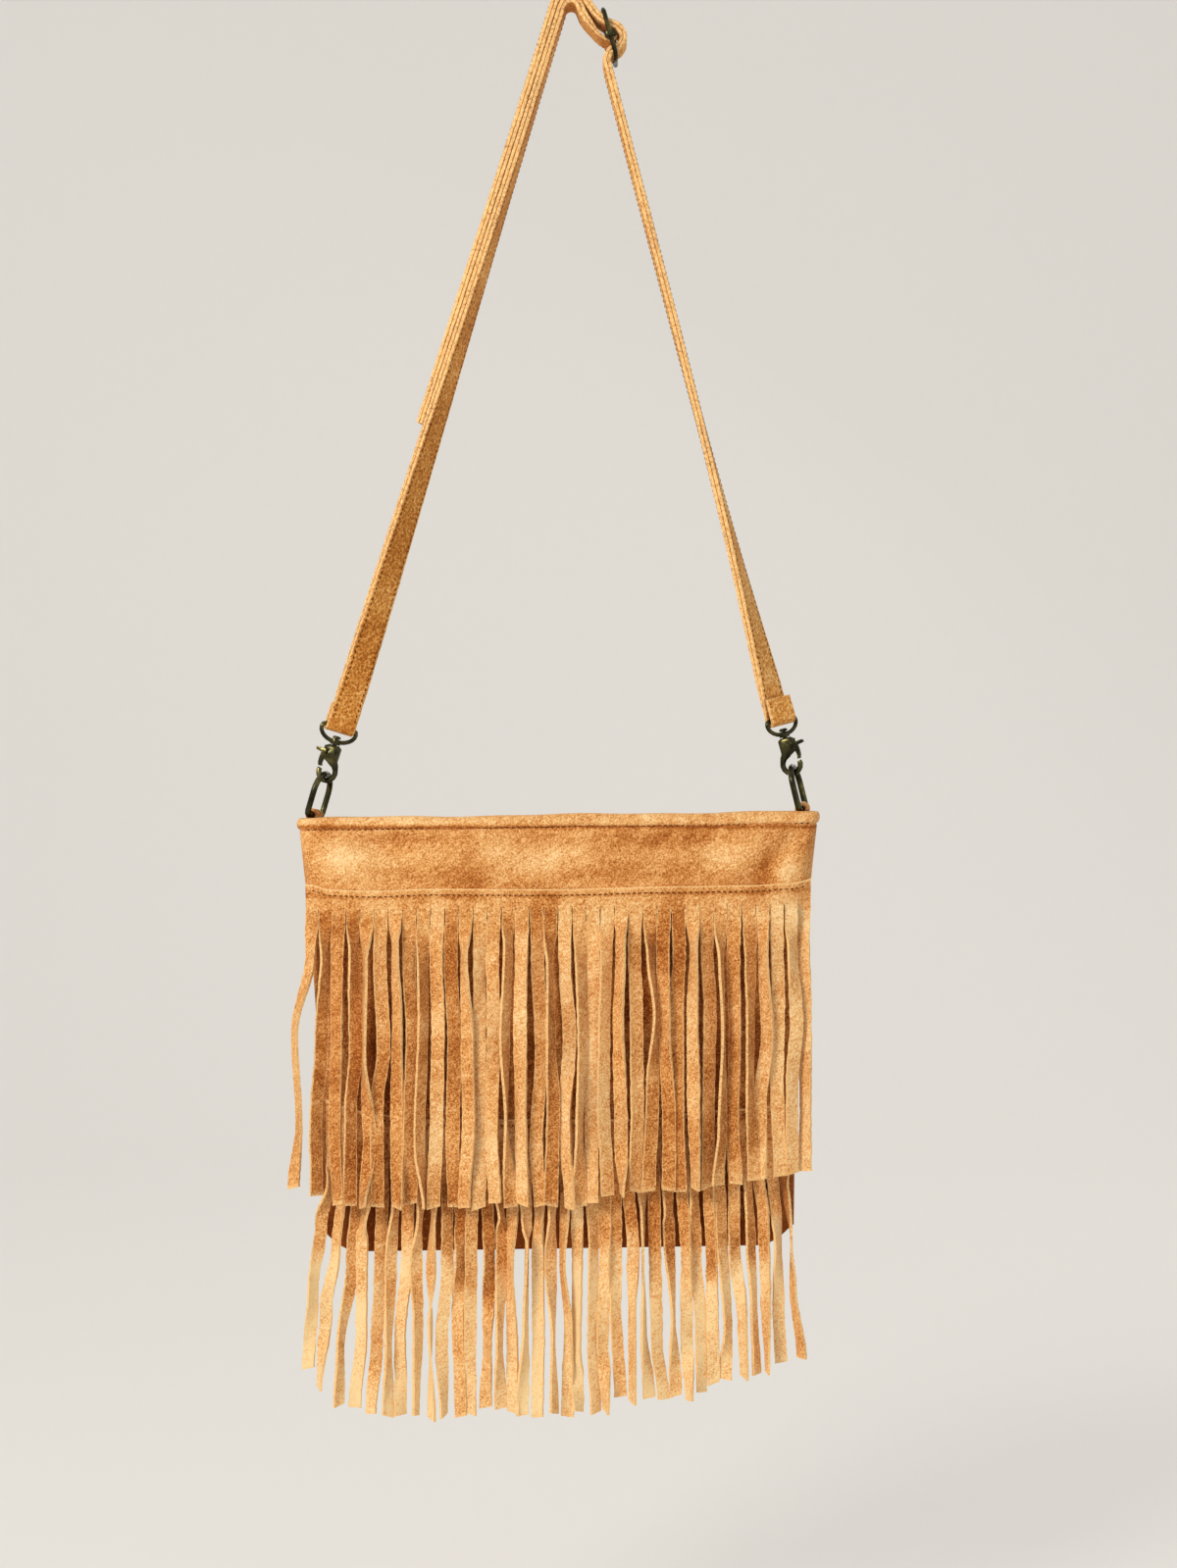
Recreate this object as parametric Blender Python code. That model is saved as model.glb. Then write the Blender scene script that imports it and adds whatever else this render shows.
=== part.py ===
"""Fringed suede bag with two tiers of cut fringe, hanging by its long strap.

Metres, +Z up. The origin is the point where the strap hangs, on the underside of its crest.
The bag's front faces -Y.
"""

import math

import bmesh
import bpy
from mathutils import Matrix, Vector

for old_object in list(bpy.data.objects):
    bpy.data.objects.remove(old_object)

# Clearances
GAP = 0.0003

# Bag body
BAG_CENTRE_X = -0.0064
RIM_Z = -0.4090
RIM_RISE = 0.0018
BAG_WIDTH = 0.262
BAG_WIDTH_AT_FOOT = 0.238
BAG_HEIGHT = 0.217
CORNER_RISE = 0.010
MOUTH_HALF_DEPTH = 0.0094
BELLY_BULGE = 0.0105
SUEDE = 0.0014
HEM_HEIGHT = 0.006
SQUARE_MOUTH = 80.0
ROUND_BELLY = 2.6

# Lining and zip
LINING = 0.0006
LINING_GAP = 0.0013
LINING_END = 0.90
LINING_SHARE = 0.94
ZIP_DEPTH = 0.0068
TAPE_THICKNESS = 0.0006
TEETH_WIDTH = 0.0021
TEETH_HEIGHT = 0.0016
ZIP_POST = 0.0006
ZIP_SHARE = 0.8015
SLIDER_LENGTH = 0.0095
SLIDER_WIDTH = 0.0072
SLIDER_PLATE = 0.0009
BAIL_RADIUS = 0.0006
BAIL_CORNER = 0.0012
BAIL_SUNK = 0.0004
BAIL_LENGTH = 0.0064
BAIL_HEIGHT = 0.0030
PULLER_LENGTH = 0.026
PULLER_WIDTH = 0.0064
PULLER_THICKNESS = 0.0011
STOP_LENGTH = 0.0035

# Fringe
STRIP_COUNT = 36
SLIT = 0.00030
FRINGE_SUEDE = 0.0013
HEADER_HEIGHT = 0.0085
UPPER_TOP = 0.0355
UPPER_LENGTH = 0.1480
LOWER_TOP = 0.1505
LOWER_LENGTH = 0.1385
UPPER_WIDTH = 0.2530
LOWER_WIDTH = 0.2330
STRIP_STATIONS = 7
UPPER_STACK = 0.0030
UPPER_START = 0.06
LOWER_START = 0.24

# Straps
STRAP_WIDTH = 0.015
STRAP_THICKNESS = 0.0040
STRAP_END_THICKNESS = 0.0018
STRAP_TAPER = 0.022
END_FLAP = 0.011
HANGER_RADIUS = 0.00275
TONGUE_DROP = 0.211
TONGUE_GAP = 0.0005
CLIP_TWIST_LEFT = 69.0
CLIP_TWIST_RIGHT = 58.0
TWIST_POWER_LEFT = 1.7
TWIST_POWER_RIGHT = 4.0

LEG_STATIONS = 24
RIGHT_LEG_STATIONS = 14
LEFT_CREST_END = 20.0
RIGHT_CREST_END = 25.0
LEFT_ROUTE = [Vector((0.0064, 0, -0.0055)), Vector((0.0105, 0, -0.0112)), Vector((0.0146, 0, -0.0160))]
RIGHT_ROUTE = [Vector((0.0128, 0, -0.0052)), Vector((0.0178, 0, -0.0092)), Vector((0.0236, 0, -0.0116)),
               Vector((0.0262, 0, -0.0168)), Vector((0.0242, 0, -0.0212)), Vector((0.0198, 0, -0.0238)),
               Vector((0.0178, 0, -0.0282))]

# Strap slide, the three-bar adjuster
SLIDE_TOP = Vector((0.0162, 0.0, -0.0039))
SLIDE_LEAN = 15.7
SLIDE_LENGTH = 0.0235
SLIDE_BAR = 0.0012
SLIDE_SIDE_GAP = 0.0008
SLIDE_COLLAR = 0.0030
SLIDE_MIDDLE_SHARE = 0.55
SLIDE_FLAP = 0.0010

# Rings and their tabs
RING_WIRE = 0.0016
RING_HALF_WIDTH = 0.0094
RING_HEIGHT = 0.0217
RING_CORNER = 0.0022
RING_RIM_GAP = 0.0013
RING_TURN = 17.0
RING_INSET = 0.0078
PULL_LEAN_LEFT = 16.2
PULL_LEAN_RIGHT = -13.8
TAB_WIDTH = 0.0080
TAB_DROP = 0.012

# Swivel clasps
EYE_WIRE = 0.0011
EYE_HALF_WIDTH = 0.0092
EYE_DROP = 0.0080
HUB_RADIUS = 0.0026
HUB_HEIGHT = 0.0028
SHANK_RADIUS = 0.0012
HEAD_RADIUS = 0.0021
HEAD_HEIGHT = 0.0014
CLASP_BODY_HALF_WIDTH = 0.0043
CLASP_BODY_HALF_DEPTH = 0.0027
CLASP_BODY_LENGTH = 0.0070
CLAW_RADIUS = 0.0045
CLAW_WIRE = 0.0014
CLAW_CENTRE_DROP = 0.0236
PIVOT_OUT = 0.0030
PIVOT_DROP = 0.0138
PIN_RADIUS = 0.0008
PIN_HEAD_RADIUS = 0.0013
PIN_HEAD_HEIGHT = 0.0005
TRIGGER_THICKNESS = 0.0024
TRIGGER_HUB = 0.0019

# Values worked out from the driving sizes
CHAIN_LENGTH = CLAW_CENTRE_DROP + CLAW_RADIUS - CLAW_WIRE - GAP - RING_WIRE + RING_HEIGHT
CLAW_FOOT_DROP = CLAW_CENTRE_DROP + CLAW_RADIUS
HALF_WIDTH_INSIDE = BAG_WIDTH / 2 - SUEDE
SEAM_HALF_GAP = GAP / 2
ZIP_LEFT = BAG_CENTRE_X - BAG_WIDTH / 2 * ZIP_SHARE
ZIP_RIGHT = BAG_CENTRE_X + BAG_WIDTH / 2 * ZIP_SHARE
ZIP_Z = RIM_Z - ZIP_DEPTH
SIDES = {"left": -1, "right": 1}


# Helpers

def make_material(name, colour, roughness, metallic=0.0):
    """Return a plain Principled material."""
    material = bpy.data.materials.new(name)
    material.use_nodes = True
    shader = material.node_tree.nodes["Principled BSDF"]
    shader.inputs["Base Color"].default_value = (*colour, 1.0)
    shader.inputs["Roughness"].default_value = roughness
    shader.inputs["Metallic"].default_value = metallic
    return material


TAN_SUEDE = make_material("tan_suede", (0.55, 0.24, 0.06), 0.95)
STRAP_SUEDE = make_material("strap_suede", (0.52, 0.22, 0.055), 0.95)
ANTIQUE_BRASS = make_material("antique_brass", (0.16, 0.13, 0.06), 0.35, 1.0)
LINING_CLOTH = make_material("lining_cloth", (0.20, 0.12, 0.06), 0.9)
ZIP_TAPE = make_material("zip_tape", (0.24, 0.13, 0.05), 0.9)


def empty_at(name, place, turn=None):
    """Return an empty at a joint's axis."""
    empty = bpy.data.objects.new(name, None)
    empty.matrix_world = Matrix.Translation(place) @ (turn or Matrix.Identity(4))
    bpy.context.collection.objects.link(empty)
    return empty


def add_object(name, data, material, parent=None, local=False):
    """Link a new object; under a parent it keeps its place, unless its mesh is in the parent's frame."""
    piece = bpy.data.objects.new(name, data)
    bpy.context.collection.objects.link(piece)
    data.materials.append(material)
    if parent is not None:
        piece.parent = parent
        if not local:
            piece.matrix_parent_inverse = parent.matrix_world.inverted()
    return piece


def finish_mesh(name, bm, material, parent=None, local=False, smooth=False):
    """Turn a closed bmesh into an object with its faces pointing out."""
    bmesh.ops.recalc_face_normals(bm, faces=bm.faces)
    mesh = bpy.data.meshes.new(name)
    bm.to_mesh(mesh)
    bm.free()
    if smooth:
        mesh.shade_smooth()
        mesh.set_sharp_from_angle(angle=math.radians(40))
    return add_object(name, mesh, material, parent, local)


def extend_face(bm, face, ring):
    """Extrude a face and move its copy's corners to a ring of points."""
    grown = bmesh.ops.extrude_discrete_faces(bm, faces=[face])["faces"][0]
    for vertex, place in zip(grown.verts, ring):
        vertex.co = place
    return grown


def loft(rings):
    """Return a closed bmesh skinned through rings of points."""
    bm = bmesh.new()
    first = [bm.verts.new(place) for place in rings[0]]
    end = bm.faces.new(first)
    for ring in rings[1:]:
        end = extend_face(bm, end, ring)
    bm.faces.new(list(reversed(first)))
    return bm


def superellipse(centre, across, along, half_a, half_b, squareness=1.0, sides=12):
    """Ring of points round a centre; squareness 1 is an ellipse and 0.5 is nearly a rectangle."""
    ring = []
    for step in range(sides):
        angle = math.tau * (step + 0.5) / sides
        cosine, sine = math.cos(angle), math.sin(angle)
        a = half_a * math.copysign(abs(cosine) ** squareness, cosine)
        b = half_b * math.copysign(abs(sine) ** squareness, sine)
        ring.append(centre + across * a + along * b)
    return ring


def closed_wire(name, points, radius, material, parent=None, local=False, sides_half=2):
    """Closed loop of round wire through its points."""
    curve = bpy.data.curves.new(name, "CURVE")
    curve.dimensions = "3D"
    curve.bevel_depth = radius
    curve.bevel_resolution = sides_half
    spline = curve.splines.new("POLY")
    spline.points.add(len(points) - 1)
    for target, place in zip(spline.points, points):
        target.co = (*place, 1.0)
    spline.use_cyclic_u = True
    guide = bpy.data.objects.new(name + "_line", curve)
    mesh = bpy.data.meshes.new_from_object(guide)
    bpy.data.objects.remove(guide)
    return add_object(name, mesh, material, parent, local)


ALONG_Y = Matrix.Rotation(math.pi / 2, 4, "X")


def cylinder_mesh(name, radius, length, frame, sides=16):
    """Cylinder along the Z axis of a frame."""
    bm = bmesh.new()
    bmesh.ops.create_cone(bm, cap_ends=True, segments=sides, radius1=radius, radius2=radius,
                          depth=length, matrix=frame)
    mesh = bpy.data.meshes.new(name)
    bm.to_mesh(mesh)
    bm.free()
    return mesh


def box_mesh(name, low, high):
    """Box between two corners."""
    bm = bmesh.new()
    size = Vector(high) - Vector(low)
    centre = (Vector(high) + Vector(low)) / 2
    scale = Matrix.Diagonal((*size, 1.0))
    bmesh.ops.create_cube(bm, size=1.0, matrix=Matrix.Translation(centre) @ scale)
    mesh = bpy.data.meshes.new(name)
    bm.to_mesh(mesh)
    bm.free()
    return mesh


def combine(piece, name, mesh, operation, parent=None):
    """Add a hidden guide to a piece as a Boolean."""
    guide = bpy.data.objects.new(name, mesh)
    bpy.context.collection.objects.link(guide)
    guide.parent = parent
    guide.hide_render = True
    guide.display_type = "WIRE"
    modifier = piece.modifiers.new(name, "BOOLEAN")
    modifier.operation = operation
    modifier.object = guide


def smooth_step(value):
    """Ease from 0 to 1."""
    value = min(max(value, 0.0), 1.0)
    return value * value * (3 - 2 * value)


# Shape of the bag: u runs from -1 at the left seam to 1 at the right one, v from 0 at the rim to 1 at the foot

def half_width(v):
    """Half the inner width of the bag, which narrows as the belly fills."""
    narrowing = (BAG_WIDTH - BAG_WIDTH_AT_FOOT) / 2
    return HALF_WIDTH_INSIDE - narrowing * (1 - (1 - v) ** 2)


def half_depth(u, v):
    """Half the inner depth: a square mouth over a round belly and a closed foot."""
    depth = MOUTH_HALF_DEPTH * (1 - v) + BELLY_BULGE * math.sin(math.pi * v) ** 0.8
    mouth = max(0.0, 1 - v / 0.3)
    power = ROUND_BELLY + (SQUARE_MOUTH - ROUND_BELLY) * mouth ** 2
    return SEAM_HALF_GAP + depth * max(0.0, 1 - abs(u) ** power) ** 0.5


def height_at(u, v):
    """Height of a point; the rim rises a little to the right and the foot's corners are rounded."""
    corner = max(0.0, (abs(u) - 0.85) / 0.15)
    drop = BAG_HEIGHT - CORNER_RISE * corner ** 2
    return RIM_Z + RIM_RISE * u - v * drop


def wall_point(u, v, offset, side):
    """Point of the front (side -1) or back (side 1) wall, offset outwards from its inner face."""
    step = 0.002
    low, high = max(u - step, -1.0), min(u + step, 1.0)
    run = half_width(v) * (high - low)
    rise = half_depth(high, v) - half_depth(low, v)
    length = math.hypot(run, rise)
    out_x, out_y = -rise / length, run / length
    if abs(u) == 1.0:
        out_x, out_y = u, 0.0
    x = BAG_CENTRE_X + half_width(v) * u + offset * out_x
    y = half_depth(u, v) + offset * out_y
    return Vector((x, side * y, height_at(u, v)))


def front_y(x, z):
    """Outer face of the front wall at a place, for what lies on it."""
    v = min(max((RIM_Z - z) / BAG_HEIGHT, 0.0), 1.0)
    u = min(max((x - BAG_CENTRE_X) / half_width(v), -0.99), 0.99)
    slope = (half_depth(u + 0.005, v) - half_depth(u - 0.005, v)) / (0.01 * half_width(v))
    return -half_depth(u, v) - SUEDE * min(math.hypot(1.0, slope), 2.2)


U_STATIONS = [-1.0, -0.985, -0.96, -0.92, -0.84, -0.7, -0.48, -0.24, 0.0,
              0.24, 0.48, 0.7, 0.84, 0.92, 0.96, 0.985, 1.0]
V_STATIONS = [0.06, 0.13, 0.22, 0.34, 0.5, 0.66, 0.8, 0.91, 1.0]


def panel_ring(u, side):
    """Section of a wall from foot to rim and back, with its top edge turned in as a hem."""
    hem = HEM_HEIGHT / BAG_HEIGHT
    fold = SUEDE + GAP
    ring = [wall_point(u, v, SUEDE, side) for v in reversed(V_STATIONS)]
    ring.append(wall_point(u, hem, SUEDE, side))
    ring.append(wall_point(u, 0.004, SUEDE, side))
    ring.append(wall_point(u, 0.0, SUEDE * 0.6, side))
    ring.append(wall_point(u, 0.0, -fold * 0.7, side))
    ring.append(wall_point(u, 0.004, -fold, side))
    ring.append(wall_point(u, hem, -fold, side))
    ring.append(wall_point(u, hem, -GAP, side))
    ring.append(wall_point(u, 0.009, -GAP, side))
    ring.append(wall_point(u, 0.009, 0.0, side))
    ring.append(wall_point(u, hem, 0.0, side))
    ring += [wall_point(u, v, 0.0, side) for v in V_STATIONS]
    return ring


def make_panels(bag):
    """Front and back walls, each one piece of suede with a turned hem."""
    for name, side in (("front_panel", -1), ("back_panel", 1)):
        rings = [panel_ring(u, side) for u in U_STATIONS]
        finish_mesh(name, loft(rings), TAN_SUEDE, bag, smooth=True)


def make_lining(bag):
    """Open pocket of thin cloth inside the walls, under the zip."""
    top = (ZIP_DEPTH + TAPE_THICKNESS + GAP) / BAG_HEIGHT
    rows = [top] + [v for v in V_STATIONS if v < LINING_SHARE] + [LINING_SHARE]
    runs = [u for u in U_STATIONS if abs(u) < LINING_END]
    rings = []
    for depth, order in ((LINING_GAP, list(reversed(rows))), (LINING_GAP + LINING, rows)):
        shrink = 1 - (depth - LINING_GAP) / HALF_WIDTH_INSIDE
        for v in order:
            ring = [wall_point(u * shrink, v, -depth, -1) for u in runs]
            ring += [wall_point(u * shrink, v, -depth, 1) for u in reversed(runs)]
            if v == LINING_SHARE and depth > LINING_GAP:
                ring = [place + Vector((0, 0, LINING)) for place in ring]
            rings.append(ring)
    finish_mesh("lining", loft(rings), LINING_CLOTH, bag, smooth=True)


def make_zip(bag):
    """Recessed zip: two tapes, two rows of teeth, end stops, slider and puller."""
    teeth_in = ZIP_POST / 2 + GAP
    teeth_out = teeth_in + TEETH_WIDTH
    v = ZIP_DEPTH / BAG_HEIGHT
    reach = [ZIP_LEFT + (ZIP_RIGHT - ZIP_LEFT) * step / 8 for step in range(9)]
    for name, side in (("front", -1), ("back", 1)):
        rings = []
        for x in reach:
            u = (x - BAG_CENTRE_X) / half_width(v)
            edge = half_depth(u, v) - GAP
            ring = []
            for y, z in ((edge, ZIP_Z), (edge, ZIP_Z - TAPE_THICKNESS),
                         (teeth_out + GAP, ZIP_Z - TAPE_THICKNESS), (teeth_out + GAP, ZIP_Z)):
                ring.append(Vector((x, side * y, z + RIM_RISE * u)))
            rings.append(ring)
        finish_mesh("zip_tape_" + name, loft(rings), ZIP_TAPE, bag)
        rings = []
        middle = ZIP_Z - TAPE_THICKNESS / 2
        for x in (ZIP_LEFT + STOP_LENGTH + GAP, ZIP_RIGHT - STOP_LENGTH - GAP):
            rise = RIM_RISE * (x - BAG_CENTRE_X) / half_width(v)
            ring = []
            for y, z in ((teeth_in, -TEETH_HEIGHT / 2), (teeth_out, -TEETH_HEIGHT / 2),
                         (teeth_out, TEETH_HEIGHT / 2), (teeth_in, TEETH_HEIGHT / 2)):
                ring.append(Vector((x, side * y, middle + z + rise)))
            rings.append(ring)
        finish_mesh("zip_teeth_" + name, loft(rings), ANTIQUE_BRASS, bag)
    for name, low_x in (("left", ZIP_LEFT), ("right", ZIP_RIGHT - STOP_LENGTH)):
        rise = RIM_RISE * (low_x - BAG_CENTRE_X) / half_width(v)
        low = (low_x, -teeth_out, ZIP_Z - TAPE_THICKNESS / 2 + rise - TEETH_HEIGHT / 2)
        high = (low_x + STOP_LENGTH, teeth_out, low[2] + TEETH_HEIGHT)
        mesh = box_mesh("zip_stop_" + name, low, high)
        add_object("zip_stop_" + name, mesh, ANTIQUE_BRASS, bag)


def make_slider(bag):
    """Slider that straddles both rows of teeth, and the puller that hangs on its bail."""
    travel_angle = math.atan2(RIM_RISE, HALF_WIDTH_INSIDE)
    turn = Matrix.Rotation(-travel_angle, 4, "Y")
    start_x = ZIP_RIGHT - STOP_LENGTH - GAP - SLIDER_LENGTH / 2 - 0.001
    rise = (start_x - BAG_CENTRE_X) * math.tan(travel_angle)
    place = Vector((start_x, 0, ZIP_Z - TAPE_THICKNESS / 2 + rise))
    rider = empty_at("slider_axis", place, turn)
    rider.parent = bag
    rider.matrix_parent_inverse = bag.matrix_world.inverted()
    tunnel = TEETH_HEIGHT / 2 + GAP
    plate = tunnel + SLIDER_PLATE
    web, edge = ZIP_POST / 2, SLIDER_WIDTH / 2
    outline = [(-edge, tunnel), (-web, tunnel), (-web, -tunnel), (-edge, -tunnel), (-edge, -plate),
               (edge, -plate), (edge, -tunnel), (web, -tunnel), (web, tunnel), (edge, tunnel),
               (edge, plate), (-edge, plate)]
    rings = [[Vector((x, y, z)) for y, z in outline]
             for x in (-SLIDER_LENGTH / 2, SLIDER_LENGTH / 2)]
    slider = finish_mesh("zip_slider", loft(rings), ANTIQUE_BRASS, rider, local=True)
    half, top = BAIL_LENGTH / 2, plate + BAIL_HEIGHT
    outer = [(-half - BAIL_RADIUS, plate - BAIL_SUNK), (-half - BAIL_RADIUS, top + BAIL_RADIUS - BAIL_CORNER),
             (-half - BAIL_RADIUS + BAIL_CORNER, top + BAIL_RADIUS)]
    inner = [(-half + BAIL_RADIUS, top - BAIL_RADIUS), (-half + BAIL_RADIUS, plate - BAIL_SUNK)]
    outline = outer + [(-x, z) for x, z in reversed(outer)]
    outline += [(-x, z) for x, z in reversed(inner)] + inner
    bail = loft([[Vector((x, y, z)) for x, z in outline] for y in (-BAIL_RADIUS, BAIL_RADIUS)])
    bmesh.ops.recalc_face_normals(bail, faces=bail.faces)
    bail_mesh = bpy.data.meshes.new("slider_bail")
    bail.to_mesh(bail_mesh)
    bail.free()
    combine(slider, "slider_bail", bail_mesh, "UNION", rider)
    hinge_z = plate + GAP + PULLER_THICKNESS / 2
    hinge = empty_at("puller_axis", Vector((0, 0, hinge_z)))
    hinge.parent = rider
    bar = PULLER_THICKNESS / 2
    hole = 2 * BAIL_RADIUS + 2 * GAP + 0.0006
    mesh = box_mesh("zip_puller", (-PULLER_LENGTH + bar, -PULLER_WIDTH / 2, -bar), (bar, PULLER_WIDTH / 2, bar))
    puller = add_object("zip_puller", mesh, ANTIQUE_BRASS, hinge, local=True)
    cutter = box_mesh("puller_hole", (-bar - 0.0046, -hole / 2, -0.002), (-bar, hole / 2, 0.002))
    combine(puller, "puller_hole", cutter, "DIFFERENCE", hinge)


# Fringe: how far each strip turns edge-on in degrees, how far its foot sways in millimetres, and its cut in millimetres

UPPER_STRIPS = [
    (-40, -3.0, 9), (62, -1.2, 7), (-20, 0.0, 3), (55, 0.6, 1), (-66, 0.4, 1), (30, 0.0, 0),
    (-58, 0.5, 0), (20, 0.2, 1), (64, -0.5, 0), (-24, 0.0, 0), (15, 0.8, 1), (-60, 0.6, 0),
    (35, 0.0, 0), (-12, -0.6, 2), (58, 0.0, 0), (-35, 0.5, 1), (12, 0.9, 0), (62, 1.4, 0),
    (-28, 1.0, 0), (56, 0.4, 0), (-18, 0.0, 2), (38, -0.4, 5), (-62, 0.0, 6), (16, 0.5, 6),
    (55, 0.8, 7), (-30, 0.6, 7), (14, 0.0, 7), (-58, 0.3, 8), (26, 0.0, 8), (64, -0.3, 9),
    (-22, 0.0, 10), (40, 0.4, 11), (-60, 0.0, 12), (18, 0.3, 13), (55, 0.6, 14), (-30, 1.2, 15),
]
LOWER_STRIPS = [
    (62, -13.0, 22), (-50, -11.5, 14), (28, -9.5, 6), (-68, -7.5, 3), (10, -6.0, 1), (72, -5.0, 0),
    (-12, -4.0, 0), (66, -3.2, 1), (-70, -2.6, 0), (45, -2.0, 0), (-8, -1.5, 0), (10, -1.0, 2),
    (-22, -0.6, 3), (66, -0.3, 3), (-24, 0.0, 2), (50, 0.2, 0), (-58, 0.4, 0), (62, 0.6, 1),
    (-46, 0.8, 0), (8, 1.0, 1), (24, 1.2, 1), (-14, 1.4, 2), (12, 1.6, 9), (-8, 1.8, 7),
    (70, 2.1, 7), (-12, 2.4, 8), (46, 2.7, 8), (-30, 3.0, 8), (56, 3.4, 11), (-38, 3.8, 14),
    (22, 4.2, 17), (-40, 4.7, 18), (60, 5.2, 18), (-36, 5.7, 19), (30, 6.2, 22), (-62, 6.8, 26),
]


def strip_turn(turn, share, start):
    """Turn of a strip about its length: flat at its root, and edge-on further down."""
    return math.radians(turn) * smooth_step((share - start) / 0.35)


def make_fringe(name, bag, top, length, span, strips, turn_start, stack):
    """One comb of suede: a header sewn to the front wall, cut below into strips that hang."""
    left = BAG_CENTRE_X - span / 2
    pitch = span / STRIP_COUNT
    edges = []
    for index in range(STRIP_COUNT):
        edges += [left + pitch * index + SLIT / 2, left + pitch * (index + 1) - SLIT / 2]

    def header_ring(x):
        rise = RIM_RISE * (x - BAG_CENTRE_X) / HALF_WIDTH_INSIDE
        high, low = RIM_Z - top + rise, RIM_Z - top - HEADER_HEIGHT + rise
        y_high, y_low = front_y(x, high) - GAP, front_y(x, low) - GAP
        return [Vector((x, y_high - FRINGE_SUEDE, high)), Vector((x, y_high, high)),
                Vector((x, y_low, low)), Vector((x, y_low - FRINGE_SUEDE, low))]

    bm = loft([header_ring(x) for x in edges])
    bm.faces.ensure_lookup_table()
    bmesh.ops.recalc_face_normals(bm, faces=bm.faces)
    feet = sorted((face for face in bm.faces if face.normal.z < -0.7),
                  key=lambda face: face.calc_center_median().x)
    for index, (turn, sway, trim) in enumerate(strips):
        face = feet[2 * index]
        centre = face.calc_center_median()
        corners = []
        for vertex in face.verts:
            right = vertex.co.x > centre.x
            pair = [other.co.y for other in face.verts if (other.co.x > centre.x) == right]
            corners.append((right, vertex.co.y > sum(pair) / 2))
        half = (pitch - SLIT) / 2
        front = centre.y
        for station in range(1, STRIP_STATIONS + 1):
            share = station / STRIP_STATIONS
            z = centre.z - share * (length - trim * 0.001)
            front = min(front, front_y(centre.x, z) - GAP - FRINGE_SUEDE / 2)
            angle = strip_turn(turn, share, turn_start)
            stand_off = stack * smooth_step(share / 0.8) + half * abs(math.sin(angle))
            x = centre.x + 0.001 * sway * share ** 1.3
            across = Vector((math.cos(angle), math.sin(angle), 0))
            through = Vector((-math.sin(angle), math.cos(angle), 0))
            ring = []
            for right, back in corners:
                place = Vector((x, front - stand_off, z))
                place += across * (half if right else -half)
                place += through * (FRINGE_SUEDE / 2 if back else -FRINGE_SUEDE / 2)
                ring.append(place)
            face = extend_face(bm, face, ring)
    finish_mesh(name, bm, TAN_SUEDE, bag)


# Straps: a station is a centre, the thickness direction, the width direction and the thickness

BACK = Vector((0, 1, 0))


def leg_frame(outward, twist):
    """Thickness direction, towards the inner face, and width direction of a twisted strap leg."""
    inner = -outward * math.cos(twist) - BACK * math.sin(twist)
    across = outward * math.sin(twist) - BACK * math.cos(twist)
    return inner, across


def ribbon(name, stations, width, material, parent=None):
    """Flat strap skinned through its stations."""
    rings = []
    for centre, normal, across, thickness in stations:
        half_n, half_w = normal * thickness / 2, across * width / 2
        rings.append([centre + half_n + half_w, centre + half_n - half_w,
                      centre - half_n - half_w, centre - half_n + half_w])
    return finish_mesh(name, loft(rings), material, parent)


def end_loop(bar, pull, inner, across, wire, flap):
    """Stations of a strap's end: a short flap, then a turn round a bar to the strap's inner side."""
    radius = wire + GAP + STRAP_END_THICKNESS / 2
    stations = [(bar - inner * radius + pull * flap, -inner, across, STRAP_END_THICKNESS)]
    for step in range(9):
        angle = math.pi * step / 8
        out = -inner * math.cos(angle) - pull * math.sin(angle)
        stations.append((bar + out * radius, out, across, STRAP_END_THICKNESS))
    return stations


def smooth_path(points, steps=3):
    """Points on a smooth curve through the given ones, without the first."""
    padded = [2 * points[0] - points[1]] + points + [2 * points[-1] - points[-2]]
    path = []
    for a, b, c, d in zip(padded, padded[1:], padded[2:], padded[3:]):
        for step in range(1, steps + 1):
            t = step / steps
            path.append(0.5 * (2 * b + (c - a) * t + (2 * a - 5 * b + 4 * c - d) * t ** 2
                               + (3 * b - a - 3 * c + d) * t ** 3))
    return path


def planar_stations(points, before, thickness):
    """Stations along a path in the XZ plane, with the strap's width along Y."""
    stations = []
    path = [before] + smooth_path([before] + points)
    for index in range(1, len(path)):
        following = path[min(index + 1, len(path) - 1)]
        along = (following - path[index - 1]).normalized()
        stations.append((path[index], Vector((along.z, 0, -along.x)), -BACK, thickness))
    return stations


def chain_frame(side):
    """Tab bar, pull direction and wire direction of the ring and clasp on one side."""
    lean = math.radians(PULL_LEAN_LEFT if side < 0 else PULL_LEAN_RIGHT)
    pull = Vector((math.sin(lean), 0, math.cos(lean)))
    turn = math.radians(RING_TURN)
    turned = Vector((math.sin(turn), math.cos(turn), 0))
    along = (turned - pull * turned.dot(pull)).normalized()
    x = BAG_CENTRE_X + side * (BAG_WIDTH / 2 - RING_INSET)
    rim = RIM_Z + RIM_RISE * (x - BAG_CENTRE_X) / HALF_WIDTH_INSIDE
    return Vector((x, 0, rim + RING_WIRE + RING_RIM_GAP)), pull, along


def eye_bar(side):
    """Centre of the clasp's eye bar, which the strap turns round."""
    bar, pull, _ = chain_frame(side)
    return bar + pull * CHAIN_LENGTH


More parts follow.
